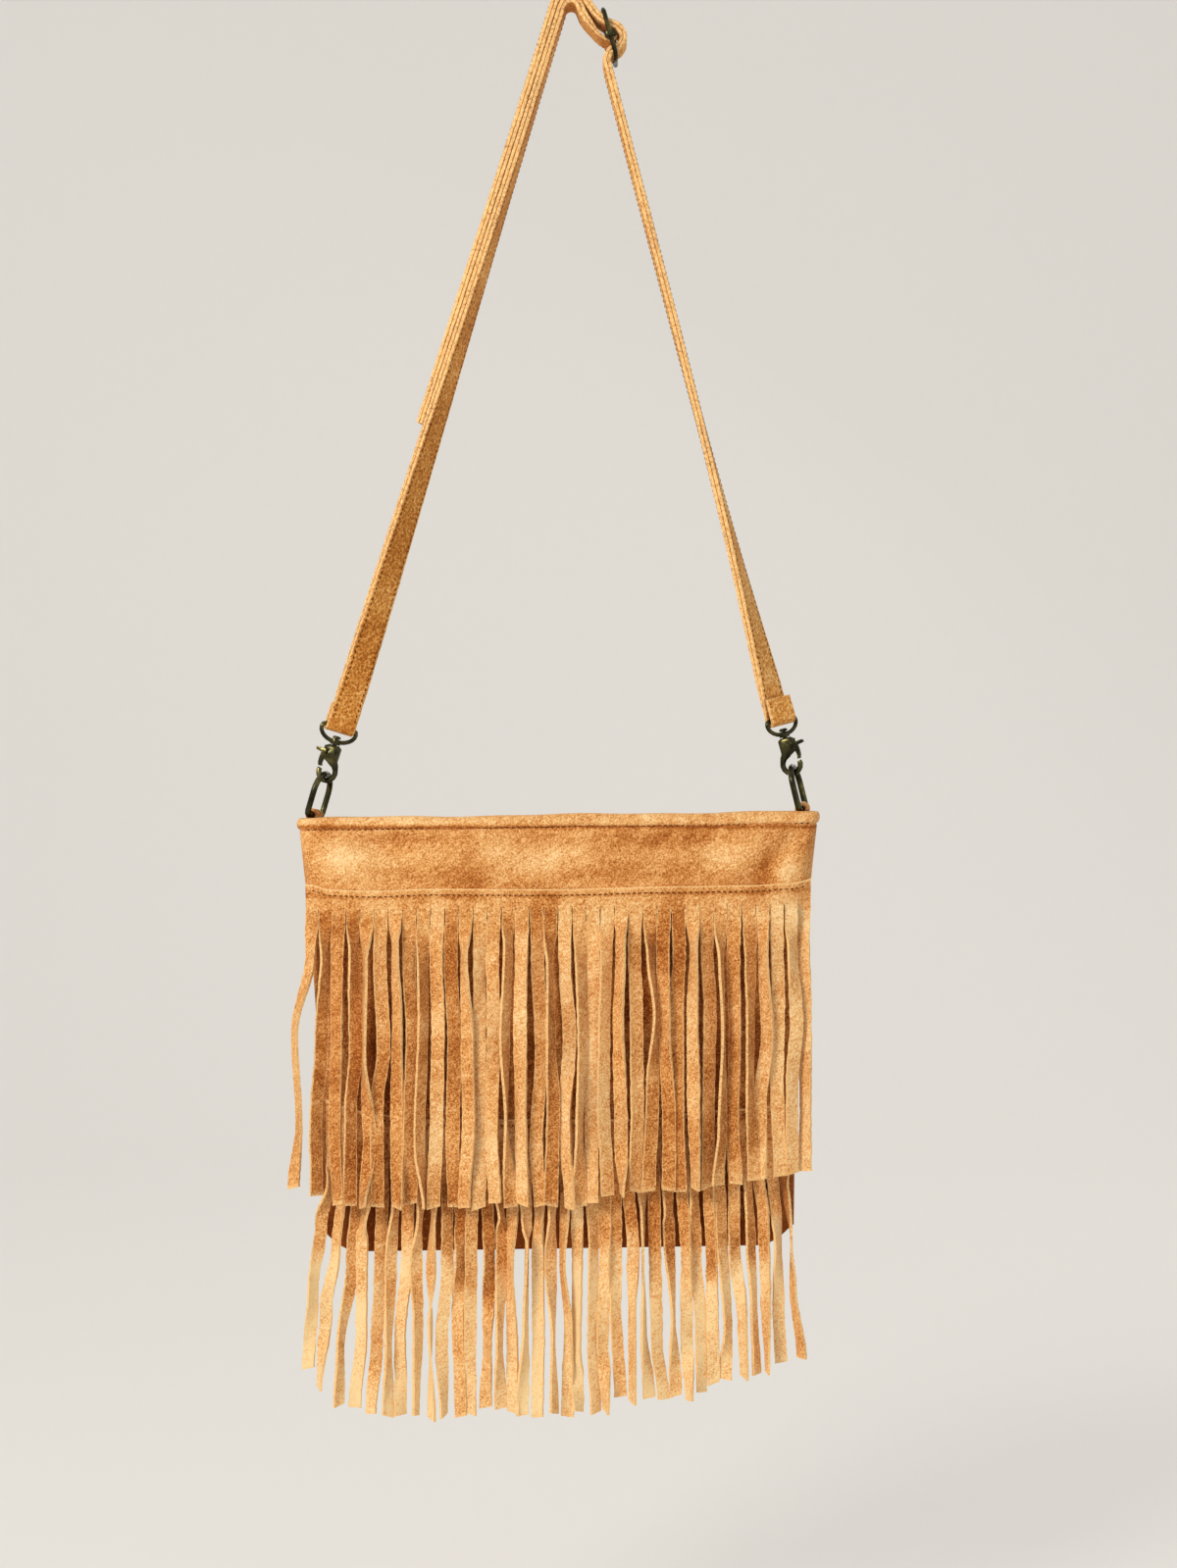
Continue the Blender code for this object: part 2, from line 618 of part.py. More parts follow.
HANGER = Vector((0, 0, -HANGER_RADIUS))
INNER_RADIUS = HANGER_RADIUS + STRAP_THICKNESS / 2
OUTER_RADIUS = INNER_RADIUS + STRAP_THICKNESS + TONGUE_GAP
SLIDE_DOWN = Vector((math.sin(math.radians(SLIDE_LEAN)), 0, -math.cos(math.radians(SLIDE_LEAN))))
SLIDE_MIDDLE = SLIDE_TOP + SLIDE_DOWN * SLIDE_LENGTH * SLIDE_MIDDLE_SHARE
SLIDE_FOOT = SLIDE_TOP + SLIDE_DOWN * SLIDE_LENGTH


def leg_thickness(distance):
    """Thickness of a strap at a distance from its turned end, where it is pared down."""
    return STRAP_END_THICKNESS + (STRAP_THICKNESS - STRAP_END_THICKNESS) * smooth_step(distance / STRAP_TAPER)


def leg_stations(bar, head, outward, twist_end, power, shares):
    """Stations of a leg from the clasp's bar up to its head, where it lies square to the wall."""
    inner, _ = leg_frame(outward, math.radians(twist_end))
    foot = bar + inner * (EYE_WIRE + GAP + STRAP_END_THICKNESS / 2)
    length = (head - foot).length
    stations = []
    for share in shares:
        twist = math.radians(twist_end) * (1 - share) ** power
        inner, across = leg_frame(outward, twist)
        stations.append((foot + (head - foot) * share, inner, across, leg_thickness(share * length)))
    return stations


def left_leg():
    """Head point, outward direction and pull direction of the left leg, tangent to its support."""
    to_hanger = HANGER - eye_bar(-1)
    lean = math.atan2(to_hanger.x, to_hanger.z) - math.asin(INNER_RADIUS / to_hanger.length)
    pull = Vector((math.sin(lean), 0, math.cos(lean)))
    outward = Vector((-math.cos(lean), 0, math.sin(lean)))
    return HANGER + outward * INNER_RADIUS, outward, pull


def leg_foot(side):
    """Pull, inner and width directions of a strap leg where it turns round the clasp's eye."""
    if side < 0:
        _, outward, pull = left_leg()
        twist = math.radians(CLIP_TWIST_LEFT)
    else:
        pull = (RIGHT_ROUTE[-1] - eye_bar(side)).normalized()
        outward = Vector((pull.z, 0, -pull.x))
        twist = math.radians(-CLIP_TWIST_RIGHT)
    inner, across = leg_frame(outward, twist)
    return pull, outward, inner, across


def crest_stations(radius, start_angle, end_angle, count=8):
    """Stations of the turn over the support, from the left leg round to the right."""
    stations = []
    for step in range(1, count + 1):
        angle = start_angle + (end_angle - start_angle) * step / count
        radial = Vector((math.cos(angle), 0, math.sin(angle)))
        stations.append((HANGER + radial * radius, -radial, -BACK, STRAP_THICKNESS))
    return stations


def make_straps():
    """The left strap, which carries the slide, and the right strap, whose long tongue doubles back."""
    head, _, _ = left_leg()
    pull, outward, inner, across = leg_foot(-1)
    start_angle = math.atan2(outward.z, outward.x)
    leg_length = (head - eye_bar(-1)).length
    tongue_share = 1 - TONGUE_DROP / (leg_length * pull.z)
    shares = sorted([(step / LEG_STATIONS) for step in range(1, LEG_STATIONS + 1)] + [tongue_share])
    leg = leg_stations(eye_bar(-1), head, outward, CLIP_TWIST_LEFT, TWIST_POWER_LEFT, shares)

    left = end_loop(eye_bar(-1), pull, inner, across, EYE_WIRE, END_FLAP) + leg
    left += crest_stations(INNER_RADIUS, start_angle, math.radians(LEFT_CREST_END))
    to_slide = (LEFT_ROUTE[-1] - SLIDE_MIDDLE).normalized()
    slide_inner = Vector((-to_slide.z, 0, to_slide.x))
    radius = SLIDE_BAR + GAP + STRAP_END_THICKNESS / 2
    loop = end_loop(SLIDE_MIDDLE, to_slide, slide_inner, -BACK, SLIDE_BAR, SLIDE_FLAP)
    route = planar_stations(LEFT_ROUTE + [SLIDE_MIDDLE + slide_inner * radius], left[-1][0], STRAP_THICKNESS)
    for index, (centre, normal, width, _) in enumerate(route[:-1]):
        remaining = (SLIDE_MIDDLE - centre).length
        thickness = STRAP_END_THICKNESS + (STRAP_THICKNESS - STRAP_END_THICKNESS) * smooth_step(
            (remaining - 0.004) / 0.012)
        left.append((centre, normal, width, thickness))
    left += list(reversed(loop))
    ribbon("strap_left", left, STRAP_WIDTH, STRAP_SUEDE)

    doubled = [station for station, share in zip(leg, shares) if share >= tongue_share]
    right = [(centre - normal * (STRAP_THICKNESS + TONGUE_GAP), normal, width, thickness)
             for centre, normal, width, thickness in doubled]
    right += crest_stations(OUTER_RADIUS, start_angle, math.radians(RIGHT_CREST_END))
    right += planar_stations(RIGHT_ROUTE, right[-1][0], STRAP_THICKNESS)
    pull, outward, inner, across = leg_foot(1)
    shares = [1 - step / RIGHT_LEG_STATIONS for step in range(1, RIGHT_LEG_STATIONS)]
    right += leg_stations(eye_bar(1), RIGHT_ROUTE[-1], outward, -CLIP_TWIST_RIGHT, TWIST_POWER_RIGHT, shares)
    right += list(reversed(end_loop(eye_bar(1), pull, inner, across, EYE_WIRE, END_FLAP)))
    ribbon("strap_right", right, STRAP_WIDTH, STRAP_SUEDE)


def make_strap_slide():
    """Three-bar slide: a round-cornered frame, a middle bar and the collars that hold it."""
    half = STRAP_WIDTH / 2 + SLIDE_SIDE_GAP + SLIDE_BAR
    corner = 0.0015
    points = []
    for end, first, second in ((SLIDE_TOP, -1, 1), (SLIDE_FOOT, 1, -1)):
        inwards = SLIDE_DOWN if end is SLIDE_TOP else -SLIDE_DOWN
        points += [end + inwards * corner + BACK * half * first,
                   end + BACK * (half - corner) * first,
                   end + BACK * (half - corner) * second,
                   end + inwards * corner + BACK * half * second]
    slide = closed_wire("strap_slide", points, SLIDE_BAR, ANTIQUE_BRASS)
    bar = cylinder_mesh("slide_middle_bar", SLIDE_BAR, 2 * half, Matrix.Translation(SLIDE_MIDDLE) @ ALONG_Y)
    combine(slide, "slide_middle_bar", bar, "UNION")
    face = Vector((SLIDE_DOWN.z, 0, -SLIDE_DOWN.x))
    for name, side in (("slide_collar_front", -1), ("slide_collar_back", 1)):
        rings = []
        for end in (-0.5, 0.5):
            centre = SLIDE_MIDDLE + SLIDE_DOWN * SLIDE_COLLAR * end + BACK * half * side
            rings.append(superellipse(centre, face, BACK, SLIDE_COLLAR, SLIDE_BAR + 0.0005, 0.7))
        bm = loft(rings)
        bmesh.ops.recalc_face_normals(bm, faces=bm.faces)
        mesh = bpy.data.meshes.new(name)
        bm.to_mesh(mesh)
        bm.free()
        combine(slide, name, mesh, "UNION")


# Rings, tabs and clasps

def frame_matrix(place, across, along, up):
    """Matrix with the given axes as its local X, Y and Z."""
    turn = Matrix((across, along, up)).transposed().to_4x4()
    return Matrix.Translation(place) @ turn


def make_ring(name, side, bag):
    """D-shaped wire ring, standing on the bar that the tab holds."""
    bar, pull, along = chain_frame(side)
    holder = empty_at(name + "_frame", bar, frame_matrix(Vector(), along.cross(pull), along, pull))
    holder.parent = bag
    holder.matrix_parent_inverse = bag.matrix_world.inverted()
    arch_centre = RING_HEIGHT - RING_HALF_WIDTH
    outline = [(-RING_HALF_WIDTH + RING_CORNER, 0), (RING_HALF_WIDTH - RING_CORNER, 0),
               (RING_HALF_WIDTH - 0.3 * RING_CORNER, 0.3 * RING_CORNER), (RING_HALF_WIDTH, RING_CORNER)]
    for step in range(13):
        angle = math.pi * step / 12
        outline.append((RING_HALF_WIDTH * math.cos(angle), arch_centre + RING_HALF_WIDTH * math.sin(angle)))
    outline += [(-RING_HALF_WIDTH, RING_CORNER), (-RING_HALF_WIDTH + 0.3 * RING_CORNER, 0.3 * RING_CORNER)]
    points = [Vector((0, y, z)) for y, z in outline]
    closed_wire(name, points, RING_WIRE, ANTIQUE_BRASS, holder, local=True)


def make_tab(name, side, bag):
    """Folded suede tab: up from inside the mouth, round the ring's bar and down again."""
    bar, _, along = chain_frame(side)
    up = (Vector((0, 0, 1)) - along * along.z).normalized()
    across = along.cross(up)
    half_gap = (GAP + SUEDE) / 2
    radius = RING_WIRE + GAP + SUEDE / 2
    half = [(half_gap, -TAB_DROP, 1.0, 0.0), (half_gap, -2.1 * radius, 0.98, -0.17)]
    for angle in (-38, -8, 22, 52, 82):
        cosine, sine = math.cos(math.radians(angle)), math.sin(math.radians(angle))
        half.append((radius * cosine, radius * sine, cosine, sine))
    stations = []
    for x, z, normal_x, normal_z in half + [(-x, z, -nx, nz) for x, z, nx, nz in reversed(half)]:
        normal = (across * normal_x + up * normal_z).normalized()
        stations.append((bar + across * x + up * z, normal, along, SUEDE))
    ribbon(name, stations, TAB_WIDTH, TAN_SUEDE, bag)


def make_eye(name, holder):
    """Swivel eye: a D-shaped loop with a bored hub at its foot."""
    side_x, drop = EYE_HALF_WIDTH, EYE_DROP
    outline = [(-side_x + 0.0016, 0), (side_x - 0.0016, 0), (side_x - 0.0004, -0.0006)]
    for step in range(13):
        angle = math.pi * step / 12
        outline.append((side_x * math.cos(angle), -0.0020 - (drop - 0.0020) * math.sin(angle)))
    outline.append((-side_x + 0.0004, -0.0006))
    points = [Vector((x, 0, z)) for x, z in outline]
    eye = closed_wire(name, points, EYE_WIRE, ANTIQUE_BRASS, holder, local=True)
    place = Matrix.Translation((0, 0, -drop))
    hub = cylinder_mesh(name + "_hub", HUB_RADIUS, HUB_HEIGHT, place)
    combine(eye, name + "_hub", hub, "UNION", holder)
    bore = cylinder_mesh(name + "_bore", SHANK_RADIUS + GAP, 3 * HUB_HEIGHT, place)
    combine(eye, name + "_bore", bore, "DIFFERENCE", holder)


def make_hook(name, holder, side):
    """Clasp hook in one piece: swivel head, shank, slotted body and claw."""
    across, deep = Vector((-side, 0, 0)), Vector((0, 1, 0))
    hub_top = -EYE_DROP + HUB_HEIGHT / 2
    hub_foot = -EYE_DROP - HUB_HEIGHT / 2
    body_top = hub_foot - GAP
    body_foot = body_top - CLASP_BODY_LENGTH
    shift = side * 0.0004
    wide, thick = CLASP_BODY_HALF_WIDTH, CLASP_BODY_HALF_DEPTH
    rings = []
    for z, radius in ((hub_top + GAP + HEAD_HEIGHT, 0.7 * HEAD_RADIUS), (hub_top + GAP + 0.6 * HEAD_HEIGHT, HEAD_RADIUS),
                      (hub_top + GAP, HEAD_RADIUS), (hub_top + GAP, SHANK_RADIUS), (body_top, SHANK_RADIUS)):
        rings.append(superellipse(Vector((0, 0, z)), across, deep, radius, radius))
    for x, z, half_a, half_b, squareness in (
            (0, body_top, 0.62 * wide, 0.8 * thick, 0.7), (shift, body_top - 0.0012, wide, thick, 0.5),
            (shift, body_foot, 0.96 * wide, thick, 0.5)):
        rings.append(superellipse(Vector((x, 0, z)), across, deep, half_a, half_b, squareness))
    for x, z, lean, half_a in ((0.0017, body_foot - 0.0018, 25, 0.0024), (0.0034, body_foot - 0.0034, 30, 0.0017)):
        tilt = math.radians(lean)
        tilted = Vector((-side * math.cos(tilt), 0, math.sin(tilt)))
        rings.append(superellipse(Vector((-side * x, 0, z)), tilted, deep, half_a, 0.8 * thick * half_a / 0.0024, 0.8))
    for angle in (22, 0, -25, -50, -75, -100, -125, -150, -175, -195):
        turn = math.radians(angle)
        radial = Vector((-side * math.cos(turn), 0, math.sin(turn)))
        centre = Vector((0, 0, -CLAW_CENTRE_DROP)) + radial * CLAW_RADIUS
        wire = CLAW_WIRE * (0.8 if angle == -195 else 1.0)
        rings.append(superellipse(centre, radial, deep, wire, wire))
    hook = finish_mesh(name, loft(rings), ANTIQUE_BRASS, holder, local=True, smooth=True)
    reach = TRIGGER_THICKNESS / 2 + GAP
    near, far = PIVOT_OUT - TRIGGER_HUB - 2 * GAP, PIVOT_OUT + 0.005
    low_x, high_x = sorted((side * near, side * far))
    slot = box_mesh(name + "_slot", (low_x, -reach, body_foot - 0.0040), (high_x, reach, body_top - 0.0014))
    combine(hook, name + "_slot", slot, "DIFFERENCE", holder)
    place = Matrix.Translation((side * PIVOT_OUT, 0, -PIVOT_DROP))
    bore = cylinder_mesh(name + "_bore", PIN_RADIUS + GAP, 4 * thick, place @ ALONG_Y)
    combine(hook, name + "_bore", bore, "DIFFERENCE", holder)


# Outline of the trigger from its pivot, in millimetres: outwards, then up
TRIGGER_OUTLINE = [(-1.85, 0.5), (-1.4, 1.4), (-0.4, 1.85), (0.8, 1.7), (2.2, 1.1), (4.6, 1.5), (5.7, 1.2),
                   (5.8, -0.1), (4.4, -0.4), (2.6, -0.8), (2.9, -3.2), (2.9, -6.0), (2.3, -7.7), (0.8, -7.7),
                   (1.1, -5.8), (0.6, -3.4), (-0.7, -1.8), (-1.7, -1.0)]


def make_trigger(name, holder, side):
    """Sprung gate of the clasp with its thumb tab, turning on the cross pin."""
    half = TRIGGER_THICKNESS / 2
    rings = []
    for y in (-half, half):
        rings.append([Vector((side * 0.001 * x, y, 0.001 * z)) for x, z in TRIGGER_OUTLINE])
    trigger = finish_mesh(name, loft(rings), ANTIQUE_BRASS, holder, local=True)
    bore = cylinder_mesh(name + "_bore", PIN_RADIUS + GAP, 4 * half, ALONG_Y)
    combine(trigger, name + "_bore", bore, "DIFFERENCE", holder)


def make_pin(name, holder, side):
    """Cross pin with two flat heads."""
    inner = CLASP_BODY_HALF_DEPTH + GAP
    outer = inner + PIN_HEAD_HEIGHT
    centre = Vector((side * PIVOT_OUT, 0, -PIVOT_DROP))
    across, up = Vector((1, 0, 0)), Vector((0, 0, 1))
    rings = [superellipse(centre + BACK * y, across, up, radius, radius) for y, radius in (
        (-outer, PIN_HEAD_RADIUS), (-inner, PIN_HEAD_RADIUS), (-inner, PIN_RADIUS),
        (inner, PIN_RADIUS), (inner, PIN_HEAD_RADIUS), (outer, PIN_HEAD_RADIUS))]
    finish_mesh(name, loft(rings), ANTIQUE_BRASS, holder, local=True, smooth=True)


def make_clasp(word, side):
    """Eye, swivelling hook, trigger and cross pin of one clasp."""
    _, pull, along = chain_frame(side)
    turn = frame_matrix(Vector(), along.cross(pull), along, pull)
    swivel = empty_at("swivel_axis_" + word, eye_bar(side), turn)
    across = leg_foot(side)[3]
    across = (across - pull * across.dot(pull)).normalized()
    eye_turn = frame_matrix(Vector(), across, pull.cross(across), pull)
    make_eye("clasp_eye_" + word, empty_at("eye_frame_" + word, eye_bar(side), eye_turn))
    make_hook("clasp_hook_" + word, swivel, side)
    make_pin("trigger_pin_" + word, swivel, side)
    pivot = empty_at("trigger_axis_" + word, Vector((side * PIVOT_OUT, 0, -PIVOT_DROP)))
    pivot.parent = swivel
    make_trigger("clasp_trigger_" + word, pivot, side)


def make_bag():
    """Everything that swings with the bag, about the line through both claws."""
    ends = []
    for side in (-1, 1):
        _, pull, _ = chain_frame(side)
        ends.append(eye_bar(side) - pull * CLAW_FOOT_DROP)
    bag = empty_at("bag_swing_axis", ends[0])
    make_panels(bag)
    make_lining(bag)
    make_zip(bag)
    make_slider(bag)
    make_fringe("fringe_upper", bag, UPPER_TOP, UPPER_LENGTH, UPPER_WIDTH, UPPER_STRIPS, UPPER_START,
                UPPER_STACK)
    make_fringe("fringe_lower", bag, LOWER_TOP, LOWER_LENGTH, LOWER_WIDTH, LOWER_STRIPS, LOWER_START, 0.0)
    for word, side in SIDES.items():
        make_ring("d_ring_" + word, side, bag)
        make_tab("ring_tab_" + word, side, bag)


make_straps()
make_strap_slide()
for side_word, side_sign in SIDES.items():
    make_clasp(side_word, side_sign)
make_bag()
bpy.context.view_layer.update()
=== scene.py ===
"""Fringed suede bag hanging by its strap: finished pieces, materials, light and camera.

Metres, +Z up. The origin is where the strap hangs, and the bag's front faces -Y.
"""

import math
import random

import bmesh
import bpy
from mathutils import Matrix, Vector


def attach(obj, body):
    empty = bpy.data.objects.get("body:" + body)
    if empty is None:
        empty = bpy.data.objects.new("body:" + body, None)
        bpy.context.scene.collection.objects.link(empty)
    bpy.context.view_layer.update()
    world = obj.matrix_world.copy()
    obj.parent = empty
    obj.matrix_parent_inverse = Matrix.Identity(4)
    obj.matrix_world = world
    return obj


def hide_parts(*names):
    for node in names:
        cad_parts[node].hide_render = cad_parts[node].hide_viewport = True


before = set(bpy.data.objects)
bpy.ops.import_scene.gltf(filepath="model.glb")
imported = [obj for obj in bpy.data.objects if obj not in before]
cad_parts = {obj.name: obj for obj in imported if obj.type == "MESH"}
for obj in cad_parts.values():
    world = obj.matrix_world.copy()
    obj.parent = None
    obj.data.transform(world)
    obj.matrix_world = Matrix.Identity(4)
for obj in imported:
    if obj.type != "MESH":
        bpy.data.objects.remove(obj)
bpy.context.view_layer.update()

MM = 0.001

# What touching pieces keep clear of each other
GAP = 0.0003

# Bag body
BAG_CENTRE_X = -0.0064
RIM_Z = -0.4090
RIM_RISE = 0.0018
BAG_WIDTH = 0.262
BAG_WIDTH_AT_FOOT = 0.238
BAG_HEIGHT = 0.217
CORNER_RISE = 0.010
MOUTH_HALF_DEPTH = 0.0094
BELLY_BULGE = 0.0105
SUEDE = 0.0014
SQUARE_MOUTH = 80.0
ROUND_BELLY = 2.6
HEM_HEIGHT = 0.0044
HEM_TURN = 0.009
HEM_BULGE = 0.0010
SEAM_GROOVE = 0.0007
SEAM_GROOVE_HALF_WIDTH = 0.0007
WALL_SHARE = 0.92

# Fringe
STRIP_COUNT = 36
SLIT = 0.0003
FRINGE_SUEDE = 0.0013
HEADER_HEIGHT = 0.0085
UPPER_TOP = 0.0355
UPPER_LENGTH = 0.1480
UPPER_WIDTH = 0.2530
UPPER_STACK = 0.0032
LOWER_TOP = 0.1505
LOWER_LENGTH = 0.1385
LOWER_WIDTH = 0.2330

# Straps, slide, rings and clasps, as far as the straps' route needs them
STRAP_WIDTH = 0.015
STRAP_THICKNESS = 0.0040
STRAP_END_THICKNESS = 0.0018
STRAP_TAPER = 0.022
END_FLAP = 0.011
HANGER_RADIUS = 0.00275
TONGUE_DROP = 0.211
TONGUE_GAP = 0.0002
CLIP_TWIST_LEFT = 69.0
CLIP_TWIST_RIGHT = 58.0
TWIST_POWER_LEFT = 1.7
TWIST_POWER_RIGHT = 4.0
LEFT_CREST_END = 20.0
RIGHT_CREST_END = 25.0
LEFT_ROUTE = [Vector((0.0064, 0, -0.0055)), Vector((0.0105, 0, -0.0112)), Vector((0.0146, 0, -0.0160))]
RIGHT_ROUTE = [Vector((0.0128, 0, -0.0052)), Vector((0.0178, 0, -0.0092)), Vector((0.0236, 0, -0.0116)),
               Vector((0.0262, 0, -0.0168)), Vector((0.0242, 0, -0.0212)), Vector((0.0198, 0, -0.0238)),
               Vector((0.0178, 0, -0.0282))]
SLIDE_TOP = Vector((0.0162, 0.0, -0.0039))
SLIDE_LEAN = 15.7
SLIDE_LENGTH = 0.0235
SLIDE_BAR = 0.0012
SLIDE_MIDDLE_SHARE = 0.55
SLIDE_FLAP = 0.0010
EYE_WIRE = 0.0011
EYE_LEFT = Vector((-0.116627, 0.0, -0.363157))
EYE_RIGHT = Vector((0.105708, 0.0, -0.359231))

# Zip
ZIP_DEPTH = 0.0068
ZIP_LEFT = -0.1070
ZIP_RIGHT = 0.0943
TOOTH_PITCH = 0.0016
TOOTH_WIDTH = 0.0021
TOOTH_HEIGHT = 0.0016
TOOTH_SHARE = 0.62
TOOTH_BEVEL = 0.00018
ZIP_POST = 0.0006
TAPE_THICKNESS = 0.0006

# Thread; a stitch stands proud of the seam's groove, and lies back from a piece's ends and edges
STITCH_PITCH = 0.0028
STITCH_LENGTH = 0.0019
THREAD_RADIUS = 0.00038
THREAD_FLATNESS = 0.8
STITCH_RISE = 0.0004
HEM_SEAM_REACH = 0.975
HEADER_SEAM_DROP = 0.0030
HEADER_SEAM_END = 0.003
STRAP_SEAM_INSET = 0.0017

BACK = Vector((0, 1, 0))


# Small helpers

def smooth_step(value):
    """Ease from 0 to 1."""
    value = min(max(value, 0.0), 1.0)
    return value * value * (3 - 2 * value)


def follow(controls, share):
    """Value of an eased line through (share, value) pairs."""
    for (start, low), (end, high) in zip(controls, controls[1:]):
        if share <= end:
            return low + (high - low) * smooth_step((share - start) / (end - start))
    return controls[-1][1]


def hump(value, centre, width):
    """Bell curve of height 1."""
    return math.exp(-((value - centre) / width) ** 2)


def colour(hexadecimal):
    """Linear RGBA of an sRGB hex value."""
    parts = [int(hexadecimal[i:i + 2], 16) / 255 for i in (1, 3, 5)]
    linear = [part / 12.92 if part <= 0.04045 else ((part + 0.055) / 1.055) ** 2.4 for part in parts]
    return (*linear, 1.0)


def add_node(tree, kind, inputs=None, **settings):
    """Add a node, set its properties, and fill its inputs with values or with links from other sockets."""
    made = tree.nodes.new(kind)
    for name, value in settings.items():
        setattr(made, name, value)
    for name, value in (inputs or {}).items():
        if isinstance(value, bpy.types.NodeSocket):
            tree.links.new(value, made.inputs[name])
        else:
            made.inputs[name].default_value = value
    return made


# Materials

def new_material(name):
    """Material with an empty tree but for its shader and output."""
    material = bpy.data.materials.new(name)
    material.use_nodes = True
    return material, material.node_tree, material.node_tree.nodes["Principled BSDF"]


def set_ramp(ramp, stops):
    """Give a colour ramp its (position, hex) stops."""
    elements = ramp.color_ramp.elements
    while len(elements) > 1:
        elements.remove(elements[-1])
    elements[0].position = stops[0][0]
    elements[0].color = colour(stops[0][1])
    for position, hexadecimal in stops[1:]:
        elements.new(position).color = colour(hexadecimal)


def make_suede(name, stops, raw_edge, grain_mm, grain_share, nap_share, cloud_share):
    """Split cowhide suede: short nap that lies in streaks, cloudy light and dark, and pale cut edges."""
    material, tree, shader = new_material(name)
    place = add_node(tree, "ShaderNodeTexCoord").outputs["Object"]
    # Clouds 25 to 40 mm across, where the nap was brushed one way or the other
    cloud = add_node(tree, "ShaderNodeTexNoise",
                     {"Vector": place, "Scale": 1 / 0.034, "Detail": 4.0, "Roughness": 0.55, "Distortion": 0.8})
    # The nap lies in slanting streaks 1 mm wide and nearly 3 mm long
    laid = add_node(tree, "ShaderNodeMapping",
                    {"Vector": place, "Rotation": (0.0, 1.0, 0.0), "Scale": (1.0, 1.0, 2.6)},
                    vector_type="TEXTURE")
    nap = add_node(tree, "ShaderNodeTexNoise",
                   {"Vector": laid.outputs["Vector"], "Scale": 1 / 0.0022, "Detail": 5.0, "Roughness": 0.7})
    # Single tufts, drawn coarser than the real 0.3 mm so that they show
    grain = add_node(tree, "ShaderNodeTexNoise",
                     {"Vector": place, "Scale": 1000 / grain_mm, "Detail": 3.0, "Roughness": 0.8})
    level = add_node(tree, "ShaderNodeAttribute", attribute_name="tone").outputs["Fac"]
    for texture, share in ((cloud, cloud_share), (nap, nap_share), (grain, grain_share)):
        part = add_node(tree, "ShaderNodeMath",
                        {0: texture.outputs["Fac"], 1: -0.5}, operation="ADD").outputs["Value"]
        level = add_node(tree, "ShaderNodeMath", {0: part, 1: share, 2: level},
                         operation="MULTIPLY_ADD").outputs["Value"]
    level = add_node(tree, "ShaderNodeMath", {0: level, 1: 0.5}, operation="ADD", use_clamp=True).outputs["Value"]
    ramp = add_node(tree, "ShaderNodeValToRGB", {"Fac": level})
    set_ramp(ramp, stops)
    # Cut edges show pale where their fibres are frayed
    edge = add_node(tree, "ShaderNodeAttribute", attribute_name="edge").outputs["Fac"]
    frayed = add_node(tree, "ShaderNodeMath", {0: grain.outputs["Fac"], 1: 3.0, 2: -0.75},
                      operation="MULTIPLY_ADD")
    paleness = add_node(tree, "ShaderNodeMath", {0: edge, 1: frayed.outputs["Value"]},
                        operation="MULTIPLY", use_clamp=True)
    mixed = add_node(tree, "ShaderNodeMix", {0: paleness.outputs["Value"], 6: ramp.outputs["Color"],
                                             7: colour(raw_edge)}, data_type="RGBA")
    tree.links.new(mixed.outputs[2], shader.inputs["Base Color"])
    rough = add_node(tree, "ShaderNodeMath", {0: grain.outputs["Fac"], 1: 0.15, 2: 0.82},
                     operation="MULTIPLY_ADD")
    tree.links.new(rough.outputs["Value"], shader.inputs["Roughness"])
    # Fibres stand off the skin, so its slopes glow a little
    shader.inputs["Sheen Weight"].default_value = 0.30
    shader.inputs["Sheen Roughness"].default_value = 0.45
    shader.inputs["Sheen Tint"].default_value = colour("#FFD9A0")
    shader.inputs["Specular IOR Level"].default_value = 0.15
    height = add_node(tree, "ShaderNodeMath", {0: nap.outputs["Fac"], 1: 0.6, 2: grain.outputs["Fac"]},
                      operation="MULTIPLY_ADD")
    bump = add_node(tree, "ShaderNodeBump",
                    {"Height": height.outputs["Value"], "Strength": 0.8, "Distance": 0.0009})
    tree.links.new(bump.outputs["Normal"], shader.inputs["Normal"])
    return material


def make_antique_brass():
    """Cast zinc, brass plated and darkened: olive brown in its hollows, rubbed to brass on its high spots."""
    material, tree, shader = new_material("antique_brass_plated")
    place = add_node(tree, "ShaderNodeTexCoord").outputs["Object"]
    # Rubbed patches 3 to 6 mm across
    rubbed = add_node(tree, "ShaderNodeTexNoise", {"Vector": place, "Scale": 1 / 0.006, "Detail": 3.0})
    ramp = add_node(tree, "ShaderNodeValToRGB", {"Fac": rubbed.outputs["Fac"]})
    set_ramp(ramp, [(0.34, "#26251A"), (0.54, "#433F28"), (0.70, "#686039"), (0.85, "#8C7F4E")])
    tree.links.new(ramp.outputs["Color"], shader.inputs["Base Color"])
    rough = add_node(tree, "ShaderNodeMath", {0: rubbed.outputs["Fac"], 1: -0.20, 2: 0.36},
                     operation="MULTIPLY_ADD")
    tree.links.new(rough.outputs["Value"], shader.inputs["Roughness"])
    shader.inputs["Metallic"].default_value = 1.0
    # Casting skin, drawn at 0.5 mm
    skin = add_node(tree, "ShaderNodeTexNoise", {"Vector": place, "Scale": 1 / 0.0005, "Detail": 1.0})
    bump = add_node(tree, "ShaderNodeBump", {"Height": skin.outputs["Fac"], "Strength": 0.12, "Distance": 0.0001})
    tree.links.new(bump.outputs["Normal"], shader.inputs["Normal"])
    return material


